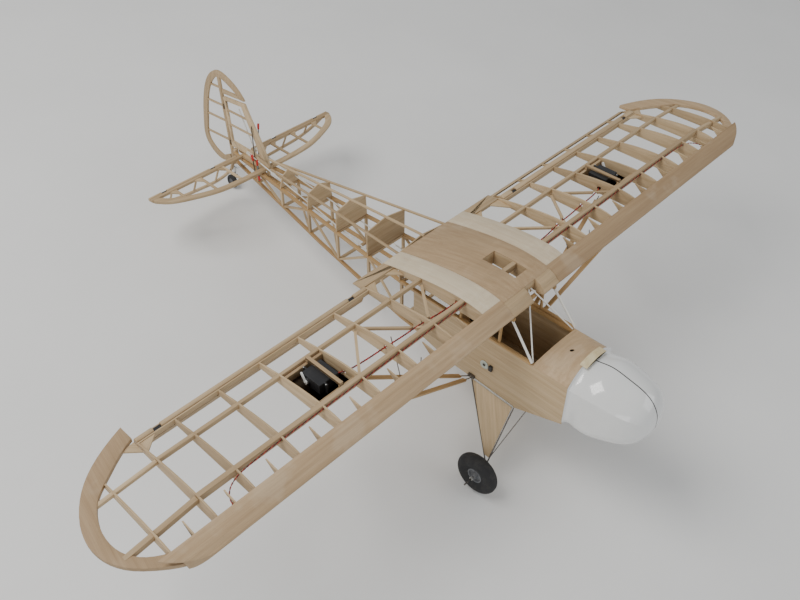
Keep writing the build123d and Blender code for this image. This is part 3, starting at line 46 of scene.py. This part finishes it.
# ------------------------------------------------ stance: the airframe's own level datum, in mm
AXLE = (-97.0, -321.0)
TAIL_AXLE = (779.0, -190.0)
WHEEL_R, TAIL_WHEEL_R = 42.0, 16.0
axle_run = math.hypot(TAIL_AXLE[0] - AXLE[0], TAIL_AXLE[1] - AXLE[1])
axle_slope = math.atan2(TAIL_AXLE[1] - AXLE[1], TAIL_AXLE[0] - AXLE[0])
STANCE = axle_slope + math.atan2(WHEEL_R - TAIL_WHEEL_R, axle_run)
HEIGHT = WHEEL_R - (AXLE[1] * math.cos(STANCE) - AXLE[0] * math.sin(STANCE))
MIDDLE_Y = 243.439


def place(x, y, z):
    """A point of the level datum, in mm, as a point of the row frame, in metres."""
    along = y * math.cos(STANCE) + z * math.sin(STANCE) - MIDDLE_Y
    up = z * math.cos(STANCE) - y * math.sin(STANCE) + HEIGHT
    return Vector((x, along, up)) / 1000


def heading(x, y, z):
    """A direction of the level datum, turned into the row frame."""
    return (place(x, y, z) - place(0, 0, 0)).normalized()


# ---------------------------------------------------------------- material helpers
class Tree:
    """A material's node tree, with short calls to add and link nodes."""

    def __init__(self, name):
        self.material = bpy.data.materials.new(name)
        self.material.use_nodes = True
        self.nodes = self.material.node_tree.nodes
        self.links = self.material.node_tree.links
        self.shader = self.nodes["Principled BSDF"]

    def add(self, kind, **values):
        node = self.nodes.new(kind)
        for key, value in values.items():
            setattr(node, key, value)
        return node

    def link(self, source, target):
        self.links.new(source, target)

    def noise(self, vector, scale, detail=4.0, rough=0.55):
        node = self.add("ShaderNodeTexNoise")
        node.inputs["Scale"].default_value = scale
        node.inputs["Detail"].default_value = detail
        node.inputs["Roughness"].default_value = rough
        self.link(vector, node.inputs["Vector"])
        return node.outputs["Fac"]

    def stretch(self, vector, scale):
        node = self.add("ShaderNodeMapping")
        node.inputs["Scale"].default_value = scale
        self.link(vector, node.inputs["Vector"])
        return node.outputs["Vector"]

    def ramp(self, factor, stops):
        node = self.add("ShaderNodeValToRGB")
        while len(node.color_ramp.elements) < len(stops):
            node.color_ramp.elements.new(0.5)
        for element, (place_at, colour) in zip(node.color_ramp.elements, stops):
            element.position = place_at
            element.color = (*colour, 1.0)
        self.link(factor, node.inputs["Fac"])
        return node.outputs["Color"]

    def grey(self, factor, low, high, dark=0.0, light=1.0):
        return self.ramp(factor, [(low, (dark,) * 3), (high, (light,) * 3)])

    def mix(self, factor, a, b, blend="MIX"):
        node = self.add("ShaderNodeMix", data_type="RGBA", blend_type=blend)
        for socket, value in ((node.inputs[0], factor), (node.inputs[6], a), (node.inputs[7], b)):
            if isinstance(value, bpy.types.NodeSocket):
                self.link(value, socket)
            else:
                socket.default_value = value if socket == node.inputs[0] else (*value, 1.0)
        return node.outputs[2]

    def bump(self, height, strength, distance):
        node = self.add("ShaderNodeBump")
        node.inputs["Strength"].default_value = strength
        node.inputs["Distance"].default_value = distance
        self.link(height, node.inputs["Height"])
        self.link(node.outputs["Normal"], self.shader.inputs["Normal"])

    def attribute(self, name, output="Vector"):
        node = self.add("ShaderNodeAttribute", attribute_name=name)
        return node.outputs[output]

    def position(self):
        return self.add("ShaderNodeTexCoord").outputs["Object"]


def wood(name, pale, dark, rough=0.62, glue_and_shade=0.5, patches=0.0):
    """Bare wood: long fibres and pores along each stick, its own shade, and amber adhesive with painted
    shade in the corners.
    """
    tree = Tree(name)
    grain = tree.attribute("grain")
    fibres = tree.noise(tree.stretch(grain, (22, 900, 900)), 1.0, 5.0, 0.6)
    bands = tree.noise(tree.stretch(grain, (5, 160, 160)), 1.0, 3.0, 0.5)
    pores = tree.noise(tree.stretch(grain, (260, 3800, 3800)), 1.0, 2.0, 0.5)
    between = [0.5 * (a + b) for a, b in zip(pale, dark)]
    base = tree.ramp(bands, [(0.30, dark), (0.52, between), (0.72, pale)])
    streaks = tree.mix(0.42, base, tree.ramp(fibres, [(0.34, dark), (0.62, pale)]))
    flecks = tree.grey(pores, 0.60, 0.72, 0.0, 0.32)
    colour = tree.mix(flecks, streaks, [channel * 0.55 for channel in dark])
    shade = tree.attribute("shade", "Fac")
    tone = tree.ramp(shade, [(0.0, (0.74, 0.68, 0.60)), (1.0, (1.12, 1.10, 1.06))])
    colour = tree.mix(0.85, colour, tone, "MULTIPLY")
    if patches:
        blotch = tree.grey(tree.noise(tree.position(), 16.0, 3.0), 0.56, 0.66, 0.0, patches)
        colour = tree.mix(blotch, colour, (0.80, 0.70, 0.55))
    # painted shade: ambient occlusion darkens every corner and gap between parts towards amber, standing
    # in both for adhesive at the joints and for the shade that falls there
    corner = tree.add("ShaderNodeAmbientOcclusion", samples=6)
    corner.inputs["Distance"].default_value = 0.0045
    glue_and_painted_shade = tree.grey(corner.outputs["AO"], 0.35, 0.80, glue_and_shade, 0.0)
    runs = tree.grey(tree.noise(tree.position(), 120.0, 3.0), 0.40, 0.58)
    glue_and_shade_mask = tree.mix(1.0, glue_and_painted_shade, runs, "MULTIPLY")
    colour = tree.mix(glue_and_shade_mask, colour, (0.30, 0.13, 0.035))
    tree.link(colour, tree.shader.inputs["Base Color"])
    gloss = tree.mix(glue_and_shade_mask, tree.grey(fibres, 0.3, 0.7, rough - 0.08, rough + 0.14), (0.32, 0.32, 0.32))
    tree.link(gloss, tree.shader.inputs["Roughness"])
    tree.bump(tree.mix(0.4, fibres, pores), 0.35, 0.00025)
    return tree.material


DUST_COLOUR = (0.42, 0.38, 0.32)


def moulded(name, colour, rough, grain=0.0, dust=0.08):
    """Moulded or formed plastic: fine surface texture, uneven gloss, a little dust and handling."""
    tree = Tree(name)
    where = tree.position()
    fine = tree.noise(where, 900.0, 3.0)
    broad = tree.noise(where, 28.0, 4.0)
    tinted = tree.mix(tree.grey(broad, 0.35, 0.70), colour, [min(1.0, c * 0.90 + 0.004) for c in colour])
    marks = tree.grey(tree.noise(where, 70.0, 6.0, 0.7), 0.55, 0.80, 0.0, dust)
    tree.link(tree.mix(marks, tinted, DUST_COLOUR), tree.shader.inputs["Base Color"])
    gloss = tree.grey(broad, 0.25, 0.75, max(0.05, rough - 0.06), rough + 0.10)
    tree.link(gloss, tree.shader.inputs["Roughness"])
    tree.bump(fine, grain, 0.0002)
    return tree.material


def metal(name, colour, rough, specks=0.25):
    """Wire or sheet metal: drawn streaks, darker oxide flecks and uneven gloss."""
    tree = Tree(name)
    where = tree.position()
    streaks = tree.noise(tree.stretch(where, (900, 300, 900)), 1.0, 4.0)
    oxide = tree.grey(tree.noise(where, 220.0, 5.0, 0.65), 0.50, 0.72, 0.0, specks)
    bright = tree.mix(tree.grey(streaks, 0.35, 0.65), colour, [c * 0.72 for c in colour])
    tree.link(tree.mix(oxide, bright, (0.10, 0.07, 0.05)), tree.shader.inputs["Base Color"])
    tree.link(tree.grey(streaks, 0.3, 0.7, rough, rough + 0.18), tree.shader.inputs["Roughness"])
    tree.shader.inputs["Metallic"].default_value = 1.0
    tree.bump(streaks, 0.15, 0.0001)
    return tree.material


def foam_rubber(name):
    """Soft black tyre: matt, pitted, with pale dust where it has rolled."""
    tree = Tree(name)
    where = tree.position()
    pits = tree.noise(where, 1400.0, 3.0)
    dust = tree.grey(tree.noise(where, 60.0, 6.0, 0.7), 0.48, 0.75, 0.0, 0.35)
    base = tree.mix(tree.grey(pits, 0.4, 0.6), (0.012, 0.012, 0.013), (0.030, 0.030, 0.031))
    tree.link(tree.mix(dust, base, (0.10, 0.095, 0.085)), tree.shader.inputs["Base Color"])
    tree.link(tree.grey(pits, 0.3, 0.7, 0.70, 0.95), tree.shader.inputs["Roughness"])
    tree.bump(pits, 0.6, 0.0003)
    return tree.material


def formed_cowl(name):
    """Glossy white formed sheet: nearly clean, with faint waves and a dark line at the joint."""
    tree = Tree(name)
    where = tree.position()
    waves = tree.noise(where, 14.0, 2.0)
    split = tree.add("ShaderNodeSeparateXYZ")
    tree.link(where, split.inputs[0])
    distance = tree.add("ShaderNodeMath", operation="ABSOLUTE")
    tree.link(split.outputs["X"], distance.inputs[0])
    scaled = tree.add("ShaderNodeMath", operation="MULTIPLY")
    scaled.inputs[1].default_value = 100.0
    tree.link(distance.outputs[0], scaled.inputs[0])
    joint = tree.grey(scaled.outputs[0], 0.07, 0.14, 1.0, 0.0)
    base = tree.ramp(waves, [(0.3, (0.74, 0.745, 0.73)), (0.7, (0.79, 0.795, 0.785))])
    specks = tree.grey(tree.noise(where, 160.0, 5.0, 0.6), 0.66, 0.78, 0.0, 0.25)
    marked = tree.mix(specks, base, (0.55, 0.53, 0.49))
    tree.link(tree.mix(joint, marked, (0.035, 0.03, 0.028)), tree.shader.inputs["Base Color"])
    tree.link(tree.grey(waves, 0.3, 0.7, 0.12, 0.18), tree.shader.inputs["Roughness"])
    tree.shader.inputs["Coat Weight"].default_value = 0.9
    tree.shader.inputs["Coat Roughness"].default_value = 0.05
    tree.bump(waves, 0.06, 0.002)
    return tree.material


def crepe_tape(name):
    """Masking tape: fine crepe wrinkles across it with painted shade along them, and a slightly blotchy
    cream colour.
    """
    tree = Tree(name)
    where = tree.position()
    wrinkles = tree.noise(tree.stretch(where, (260, 2600, 260)), 1.0, 3.0)
    blotch = tree.noise(where, 90.0, 4.0)
    base = tree.ramp(blotch, [(0.3, (0.62, 0.50, 0.28)), (0.7, (0.78, 0.68, 0.44))])
    # painted shade: the cream darkens along the crepe wrinkles, following the same noise as the bump
    painted_crease_shade = tree.grey(wrinkles, 0.4, 0.6, 0.0, 0.3)
    tree.link(tree.mix(painted_crease_shade, base, (0.45, 0.35, 0.18)), tree.shader.inputs["Base Color"])
    tree.shader.inputs["Roughness"].default_value = 0.72
    tree.bump(wrinkles, 0.5, 0.0003)
    return tree.material


LOOKS = {
    "balsa": wood("BareBalsa", (0.62, 0.49, 0.32), (0.42, 0.30, 0.165)),
    "balsa_tan": wood("TanBalsaSheet", (0.52, 0.39, 0.245), (0.37, 0.25, 0.14), glue_and_shade=0.35, patches=0.12),
    "spruce": wood("AmberStrip", (0.56, 0.38, 0.18), (0.38, 0.23, 0.095), rough=0.5),
    "plywood": wood("Plywood", (0.54, 0.41, 0.255), (0.38, 0.26, 0.14)),
    "cap_wood": wood("FilledPaleBalsa", (0.64, 0.57, 0.44), (0.54, 0.44, 0.31), glue_and_shade=0.25, patches=0.15),
    "cowl_plastic": formed_cowl("WhiteFormedCowl"),
    "tape": crepe_tape("MaskingTape"),
    "black_plastic": moulded("BlackMoulding", (0.018, 0.018, 0.020), 0.38, grain=0.25, dust=0.05),
    "white_plastic": moulded("WhiteMoulding", (0.80, 0.80, 0.77), 0.34, grain=0.12, dust=0.08),
    "tube_white": moulded("WhiteTube", (0.82, 0.80, 0.74), 0.36, grain=0.08, dust=0.15),
    "tyre_foam": foam_rubber("BlackTyre"),
    "hub_grey": moulded("GreyHub", (0.17, 0.175, 0.185), 0.42, grain=0.2, dust=0.2),
    "wire": metal("SpringWire", (0.20, 0.185, 0.17), 0.34, 0.5),
    "fitting_metal": metal("PaleFitting", (0.76, 0.76, 0.74), 0.36, 0.12),
    "lead": moulded("RedLead", (0.42, 0.015, 0.012), 0.42, grain=0.05, dust=0.06),
    "thin_lead": moulded("BlackLead", (0.014, 0.014, 0.015), 0.40, grain=0.05, dust=0.06),
    "pushrod": moulded("PalePushrod", (0.74, 0.72, 0.65), 0.40, grain=0.1, dust=0.15),
}
RED_CLEVIS = moulded("RedClevis", (0.55, 0.02, 0.015), 0.32, grain=0.1, dust=0.05)
GREY_SLEEVE = moulded("GreySleeve", (0.16, 0.18, 0.18), 0.45, grain=0.1, dust=0.15)
PALE_DISC = moulded("PaleDisc", (0.50, 0.54, 0.47), 0.50, grain=0.1, dust=0.15)
SCREW = metal("SmallScrews", (0.62, 0.62, 0.60), 0.30, 0.2)

slots = {row["node"]: row["material_slot"] for row in frame["record"]["subparts"]}
bodies = {node: body for body, nodes in frame["record"]["behaviour"]["bodies"].items() for node in nodes}


# ---------------------------------------------------------------- mesh helpers
def link(name, mesh, material):
    """A mesh as a named object of the scene with one material."""
    piece = bpy.data.objects.new(name, mesh)
    bpy.context.scene.collection.objects.link(piece)
    mesh.materials.clear()
    mesh.materials.append(material)
    return piece


def finish_piece(piece, body, slot, *nodes):
    """Puts a piece on its body and hides the CAD nodes it stands for; the slot argument is not used."""
    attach(piece, body)
    if nodes:
        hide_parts(*nodes)
    return piece


def main_direction(points):
    """The direction in which a set of points spreads most, by power iteration on its spread."""
    middle = sum(points, Vector()) / len(points)
    spread = Matrix(((0, 0, 0), (0, 0, 0), (0, 0, 0)))
    for point in points:
        d = point - middle
        for row in range(3):
            for column in range(3):
                spread[row][column] += d[row] * d[column]
    direction = Vector((0.61, 0.53, 0.59))
    for _ in range(40):
        direction = (spread @ direction).normalized()
    return middle, direction


def islands(mesh):
    """The vertex sets of a bmesh's separate sticks."""
    seen = set()
    for start in mesh.verts:
        if start in seen:
            continue
        group = [start]
        seen.add(start)
        for vertex in group:
            for edge in vertex.link_edges:
                other = edge.other_vert(vertex)
                if other not in seen:
                    seen.add(other)
                    group.append(other)
        yield group


WOOD_EDGE, MOULDED_EDGE = 0.0005, 0.0003


def wooden(node):
    """A CAD node of sticks or sheets, with softened edges, and grain and shade for each stick."""
    source = frame["nodes"][node]
    work = bmesh.new()
    work.from_mesh(source.data)
    bmesh.ops.remove_doubles(work, verts=work.verts, dist=1e-6)
    bmesh.ops.dissolve_limit(work, angle_limit=math.radians(0.6), verts=work.verts, edges=work.edges)
    grain = work.verts.layers.float_vector.new("grain")
    shade = work.verts.layers.float.new("shade")
    for group in islands(work):
        middle, along = main_direction([vertex.co for vertex in group])
        across = along.cross(Vector((0.13, 0.21, 0.97))).normalized()
        up = along.cross(across)
        shift = Vector((random.random(), random.random(), random.random())) * 3
        tone = random.random()
        for vertex in group:
            d = vertex.co - middle
            vertex[grain] = Vector((d.dot(along), d.dot(across), d.dot(up))) + shift
            vertex[shade] = tone
    for face in work.faces:
        face.smooth = True
    mesh = bpy.data.meshes.new("wood_" + node)
    work.to_mesh(mesh)
    work.free()
    piece = link("wood_" + node, mesh, LOOKS[slots[node]])
    edges = piece.modifiers.new("edges", "BEVEL")
    edges.width = WOOD_EDGE
    edges.segments = 2
    edges.limit_method = "ANGLE"
    edges.angle_limit = math.radians(35)
    edges.harden_normals = True
    return finish_piece(piece, bodies[node], slots[node], node)


def moulded_node(node):
    """A CAD node in plastic or metal, with rounded moulded edges."""
    source = frame["nodes"][node]
    work = bmesh.new()
    work.from_mesh(source.data)
    bmesh.ops.remove_doubles(work, verts=work.verts, dist=1e-6)
    bmesh.ops.dissolve_limit(work, angle_limit=math.radians(0.6), verts=work.verts, edges=work.edges)
    for face in work.faces:
        face.smooth = True
    mesh = bpy.data.meshes.new("formed_" + node)
    work.to_mesh(mesh)
    work.free()
    piece = link("formed_" + node, mesh, LOOKS[slots[node]])
    edges = piece.modifiers.new("edges", "BEVEL")
    edges.width = MOULDED_EDGE
    edges.segments = 3
    edges.limit_method = "ANGLE"
    edges.angle_limit = math.radians(35)
    edges.harden_normals = True
    return finish_piece(piece, bodies[node], slots[node], node)


def turned(name, outline, centre, axis, material, steps=48):
    """A lathe-turned mesh: (along, radius) points swept round an axis through a centre."""
    axis = Vector(axis).normalized()
    side = axis.orthogonal().normalized()
    up = axis.cross(side)
    work = bmesh.new()
    rings = []
    for along, radius in outline:
        ring = []
        for step in range(steps):
            angle = 2 * math.pi * step / steps
            point = centre + axis * along + (side * math.cos(angle) + up * math.sin(angle)) * radius
            ring.append(work.verts.new(point))
        rings.append(ring)
    for first, second in zip(rings, rings[1:]):
        for step in range(steps):
            after = (step + 1) % steps
            work.faces.new((first[step], first[after], second[after], second[step]))
    work.faces.new(list(reversed(rings[0])))
    work.faces.new(rings[-1])
    bmesh.ops.recalc_face_normals(work, faces=work.faces)
    for face in work.faces:
        face.smooth = len(face.verts) == 4
    mesh = bpy.data.meshes.new(name)
    work.to_mesh(mesh)
    work.free()
    return link(name, mesh, material)


def slab(name, centre, half, axes, material, bevel=0.0006):
    """A small rounded block: a cube on three axes with its edges rolled over."""
    work = bmesh.new()
    bmesh.ops.create_cube(work, size=2.0)
    bmesh.ops.bevel(
        work, geom=work.edges[:], offset=0.0001, offset_type="OFFSET", segments=1, affect="EDGES"
    )
    for vertex in work.verts:
        x, y, z = vertex.co
        vertex.co = centre + axes[0] * x * half[0] + axes[1] * y * half[1] + axes[2] * z * half[2]
    mesh = bpy.data.meshes.new(name)
    work.to_mesh(mesh)
    work.free()
    piece = link(name, mesh, material)
    edges = piece.modifiers.new("edges", "BEVEL")
    edges.width = bevel
    edges.segments = 3
    return piece


# ---------------------------------------------------------------- airframe: every wooden node
for node, slot in slots.items():
    if slot in ("balsa", "balsa_tan", "spruce", "plywood", "cap_wood"):
        wooden(node)
for node, slot in slots.items():
    if slot in ("black_plastic", "white_plastic", "tape", "fitting_metal", "pushrod", "hub_grey"):
        if node != "charge_switch":
            moulded_node(node)
for node, slot in slots.items():
    if slot in ("tube_white", "tyre_foam", "wire", "cowl_plastic"):
        carried = frame["nodes"][node]
        carried.data.materials.clear()
        carried.data.materials.append(LOOKS[slot])
        for face in carried.data.polygons:
            face.use_smooth = True

# ---------------------------------------------------------------- leads
LIGHT_LEAD = [
    (62, -5.6, -5), (120, -5.6, -4.6), (180, -5.6, -5.2), (240, -5.6, -4.8), (300, -5.6, -5.3),
    (360, -5.6, -4.9), (420, -5.6, -5.2), (480, -5.6, -4.8), (535, -6, -5.2), (569, -8.5, -6),
    (588, -15, -9), (599, -29, -12), (601, -44, -13),
]
SERVO_LEAD = [
    (347.6, 45, -20), (341, 40, -20), (330, 33, -18), (300, 27, -15), (262, 24, -13), (222, 22, -14.5),
    (182, 20, -13), (145, 16, -14.5), (108, 13, -13), (64, 12, -15),
]


def smooth_route(name, points, side):
    """The lead's smooth line as a NURBS curve object with no thickness."""
    curve = bpy.data.curves.new(name, "CURVE")
    curve.dimensions = "3D"
    curve.resolution_u = 24
    spline = curve.splines.new("NURBS")
    spline.points.add(len(points) - 1)
    for point, (x, y, z) in zip(spline.points, points):
        point.co = (*place(side * x, y, z), 1.0)
    spline.order_u = 3
    spline.use_endpoint_u = True
    route = bpy.data.objects.new(name, curve)
    bpy.context.scene.collection.objects.link(route)
    return route


def strands(name, points, side, colours, reach, radius, pitch):
    """Twisted strands round a lead's smooth line, each a round tube in its own colour."""
    route = smooth_route(name + "_route", points, side)
    bpy.context.view_layer.update()
    flat = bpy.data.meshes.new_from_object(route)
    line = [vertex.co.copy() for vertex in flat.vertices]
    bpy.data.objects.remove(route)
    fine = []
    for a, b in zip(line, line[1:]):
        parts = max(1, round((b - a).length / 0.0008))
        fine += [a.lerp(b, part / parts) for part in range(parts)]
    fine.append(line[-1])
    made = []
    for number, material in enumerate(colours):
        curve = bpy.data.curves.new(f"{name}_{number}", "CURVE")
        curve.dimensions = "3D"
        curve.bevel_depth = radius
        curve.bevel_resolution = 3
        curve.use_fill_caps = True
        spline = curve.splines.new("POLY")
        spline.points.add(len(fine) - 1)
        travelled = 0.0
        for index, here in enumerate(fine):
            ahead = fine[min(index + 1, len(fine) - 1)] - fine[max(index - 1, 0)]
            across = ahead.cross(Vector((0, 0, 1))).normalized()
            up = across.cross(ahead).normalized()
            travelled += (here - fine[max(index - 1, 0)]).length
            turn = 2 * math.pi * (travelled / pitch + number / len(colours))
            offset = (across * math.cos(turn) + up * math.sin(turn)) * reach
            spline.points[index].co = (*(here + offset), 1.0)
        curve.materials.append(material)
        strand = bpy.data.objects.new(f"{name}_{number}", curve)
        bpy.context.scene.collection.objects.link(strand)
        made.append(strand)
    return made


THREE_STRANDS = [LOOKS["lead"], LOOKS["thin_lead"], LOOKS["lead"]]
TWO_STRANDS = [LOOKS["lead"], LOOKS["thin_lead"]]
for side, word in ((1, "left"), (-1, "right")):
    twisted = strands(
        f"servo_lead_{word}", SERVO_LEAD, side, THREE_STRANDS, reach=0.00075, radius=0.00062, pitch=0.017
    )
    for strand in twisted:
        finish_piece(strand, "airframe", "lead", "servo_leads")
    pair = strands(
        f"light_lead_{word}", LIGHT_LEAD, side, TWO_STRANDS, reach=0.00055, radius=0.00052, pitch=0.013
    )
    for strand in pair:
        finish_piece(strand, "airframe", "thin_lead", "light_leads")

# ---------------------------------------------------------------- small parts
RIGHT, AFT, UP = heading(1, 0, 0), heading(0, 1, 0), heading(0, 0, 1)


def screw(name, at, axis, radius, body):
    """A pan-head screw standing a little proud of the surface."""
    head = [(0, 1), (0.35, 1), (0.7, 0.75), (0.8, 0.2)]
    outline = [(along * radius, out * radius) for along, out in head]
    piece = turned(name, outline, at, axis, SCREW, steps=20)
    return finish_piece(piece, body, "fitting_metal")


for side, word in ((1, "left"), (-1, "right")):
    shaft = place(side * 392.2, 60, -16.6)
    screw(f"arm_screw_{word}", shaft, (side, 0, 0), 0.0013, f"{word}_arm")
    for number, y in enumerate((27, 77)):
        screw(f"lug_screw_{word}_{number}", place(side * 379, y, -6.5), UP, 0.0014, "airframe")

# charge jack's pale disc with a socket, and a black switch beside it
SWITCH_AXES = (AFT, UP, RIGHT)
disc_at = place(-61.0, -22, -168)
disc_outline = [(0.0001, 0.0089), (0.0012, 0.0089), (0.0016, 0.0084), (0.0016, 0.0031), (0.0013, 0.0030)]
disc = turned("switch_disc", disc_outline, disc_at, (-1, 0, 0), PALE_DISC)
finish_piece(disc, "airframe", "black_plastic", "charge_switch")
socket_outline = [(0.0013, 0.0026), (0.0021, 0.0026), (0.0023, 0.0023)]
jack = turned("switch_socket", socket_outline, disc_at, (-1, 0, 0), LOOKS["black_plastic"], steps=32)
finish_piece(jack, "airframe", "black_plastic", "charge_switch")
key_half = (0.0034, 0.0054, 0.00235)
key = slab("switch_body", place(-63.5, -37.5, -165.5), key_half, SWITCH_AXES, LOOKS["black_plastic"])
finish_piece(key, "airframe", "black_plastic", "charge_switch")

# clevises on the pushrods' tail ends
PUSH_START, PUSH_END = (36.0, 58.0, -147.0), (12.0, 670.0, -70.5)
for side, word in ((1, "rudder"), (-1, "elevator")):
    start = place(side * PUSH_START[0], *PUSH_START[1:])
    end = place(side * PUSH_END[0], *PUSH_END[1:])
    along = (end - start).normalized()
    barrel = [(-0.004, 0.0024), (0.006, 0.0024), (0.0075, 0.0019), (0.009, 0.0017)]
    body = turned(f"clevis_{word}", barrel, end, along, RED_CLEVIS, steps=24)
    finish_piece(body, f"{word}_rod", "pushrod")


# loose tail linkage: a white tube, dark rods, a grey sleeve and red clevises beside the fin
def linkage_rod(name, low, high, radius, material):
    """A round rod between two points, with slightly rounded ends."""
    a, b = place(*low), place(*high)
    length = (b - a).length
    round_off = radius * 0.3
    outline = [
        (0, radius * 0.7), (round_off, radius), (length - round_off, radius), (length, radius * 0.7),
    ]
    return finish_piece(turned(name, outline, a, b - a, material, steps=20), "airframe", "pushrod")


PRONG_HALF = (0.0044, 0.0007, 0.0021)


def red_clevis(name, at, towards):
    """A moulded clevis: a round barrel that opens into two flat prongs with a pin between them."""
    along = heading(*towards)
    across = along.orthogonal().normalized()
    over = along.cross(across)
    origin = place(*at)
    barrel = [(-0.0052, 0.0013), (-0.0046, 0.0021), (-0.0012, 0.0023), (0.0, 0.0020)]
    body = turned(name + "_barrel", barrel, origin, along, RED_CLEVIS, steps=24)
    finish_piece(body, "airframe", "pushrod")
    for number, step in enumerate((-1, 1)):
        middle = origin + along * 0.0038 + across * step * 0.00165
        axes = (along, across, over)
        prong = slab(f"{name}_prong_{number}", middle, PRONG_HALF, axes, RED_CLEVIS, 0.0004)
        finish_piece(prong, "airframe", "pushrod")
    pin = [(-0.0022, 0.0006), (-0.0020, 0.0008), (0.0020, 0.0008), (0.0022, 0.0006)]
    cross_pin = turned(name + "_pin", pin, origin + along * 0.0066, across, SCREW, steps=16)
    finish_piece(cross_pin, "airframe", "pushrod")


linkage_rod("loose_tube", (7, 679, -84), (7, 723, 15), 0.0014, LOOKS["pushrod"])
linkage_rod("loose_rod_far", (-5.4, 671, -84), (-5.4, 668.5, 0), 0.0010, LOOKS["thin_lead"])
linkage_rod("loose_rod_top", (9.8, 678, -84), (9.8, 665.6, -8), 0.0010, LOOKS["thin_lead"])
linkage_rod("loose_rod_near", (-19.5, 656, -113.5), (-19.5, 659, -61.5), 0.0010, LOOKS["thin_lead"])
linkage_rod("loose_sleeve", (-19.5, 645, -104.5), (-19.5, 644.5, -77.5), 0.0021, GREY_SLEEVE)
red_clevis("clevis_top", (9.8, 665.6, -7), (0, -0.15, 1))
red_clevis("clevis_fin", (9.8, 676.5, -51), (0, -0.6, 0.5))
red_clevis("clevis_pair_0", (-19.5, 659, -67.5), (0, 0.1, 1))
red_clevis("clevis_pair_1", (-19.5, 644.5, -73.5), (0, -0.1, 1))
red_clevis("clevis_low", (-19.5, 645, -106.5), (0, -0.3, -1))


# ---------------------------------------------------------------- stage
def floor_material():
    """A plain pale floor with the faintest unevenness."""
    tree = Tree("PaleFloor")
    mottle = tree.noise(tree.position(), 3.0, 4.0)
    tone = tree.ramp(mottle, [(0.3, (0.80, 0.80, 0.79)), (0.7, (0.84, 0.84, 0.83))])
    tree.link(tone, tree.shader.inputs["Base Color"])
    tree.shader.inputs["Roughness"].default_value = 0.75
    return tree.material


def floor():
    """A wide flat floor."""
    mesh = bpy.data.meshes.new("floor")
    reach = 9.0
    corners = [(-reach, -reach, 0), (reach, -reach, 0), (reach, reach, 0), (-reach, reach, 0)]
    mesh.from_pydata(corners, [], [(0, 1, 2, 3)])
    ground = link("floor", mesh, floor_material())


def soft_light(name, at, target, size, power, colour=(1, 1, 1)):
    """An area light aimed at a point."""
    data = bpy.data.lights.new(name, "AREA")
    data.shape = "RECTANGLE"
    data.size, data.size_y = size
    data.energy = power
    data.color = colour
    lamp = bpy.data.objects.new(name, data)
    lamp.location = at
    lamp.rotation_mode = "QUATERNION"
    lamp.rotation_quaternion = (Vector(target) - Vector(at)).to_track_quat("-Z", "Y")
    bpy.context.scene.collection.objects.link(lamp)


floor()
soft_light("key", (-1.6, 1.2, 3.0), (0, 0, 0.2), (1.8, 1.8), 82, (1.0, 0.98, 0.95))
soft_light("fill", (1.8, -2.6, 2.2), (0, -0.1, 0.2), (2.6, 2.0), 26, (0.95, 0.98, 1.0))
soft_light("front", (-2.4, -1.8, 1.4), (0, -0.1, 0.2), (1.8, 1.4), 16)
world = bpy.data.worlds.new("studio")
world.use_nodes = True
world.node_tree.nodes["Background"].inputs["Color"].default_value = (0.92, 0.94, 0.96, 1)
world.node_tree.nodes["Background"].inputs["Strength"].default_value = 0.42
bpy.context.scene.world = world

# ---------------------------------------------------------------- camera, at the viewing angle
CAMERA_AT = (-910.0, -639.3, 924.6)
CAMERA_RIGHT = (0.6959, -0.7182, -0.0009)
CAMERA_DOWN = (-0.482, -0.4661, -0.7414)
LENS = 855.68 / 800 * 36
camera_data = bpy.data.cameras.new("camera")
camera_data.lens = LENS
camera_data.sensor_width = 36
camera = bpy.data.objects.new("camera", camera_data)
right, up = heading(*CAMERA_RIGHT), -heading(*CAMERA_DOWN)
back = right.cross(up).normalized()
turn = Matrix((right, up, back)).transposed().to_4x4()
camera.matrix_world = Matrix.Translation(place(*CAMERA_AT)) @ turn
bpy.context.scene.collection.objects.link(camera)
bpy.context.scene.camera = camera
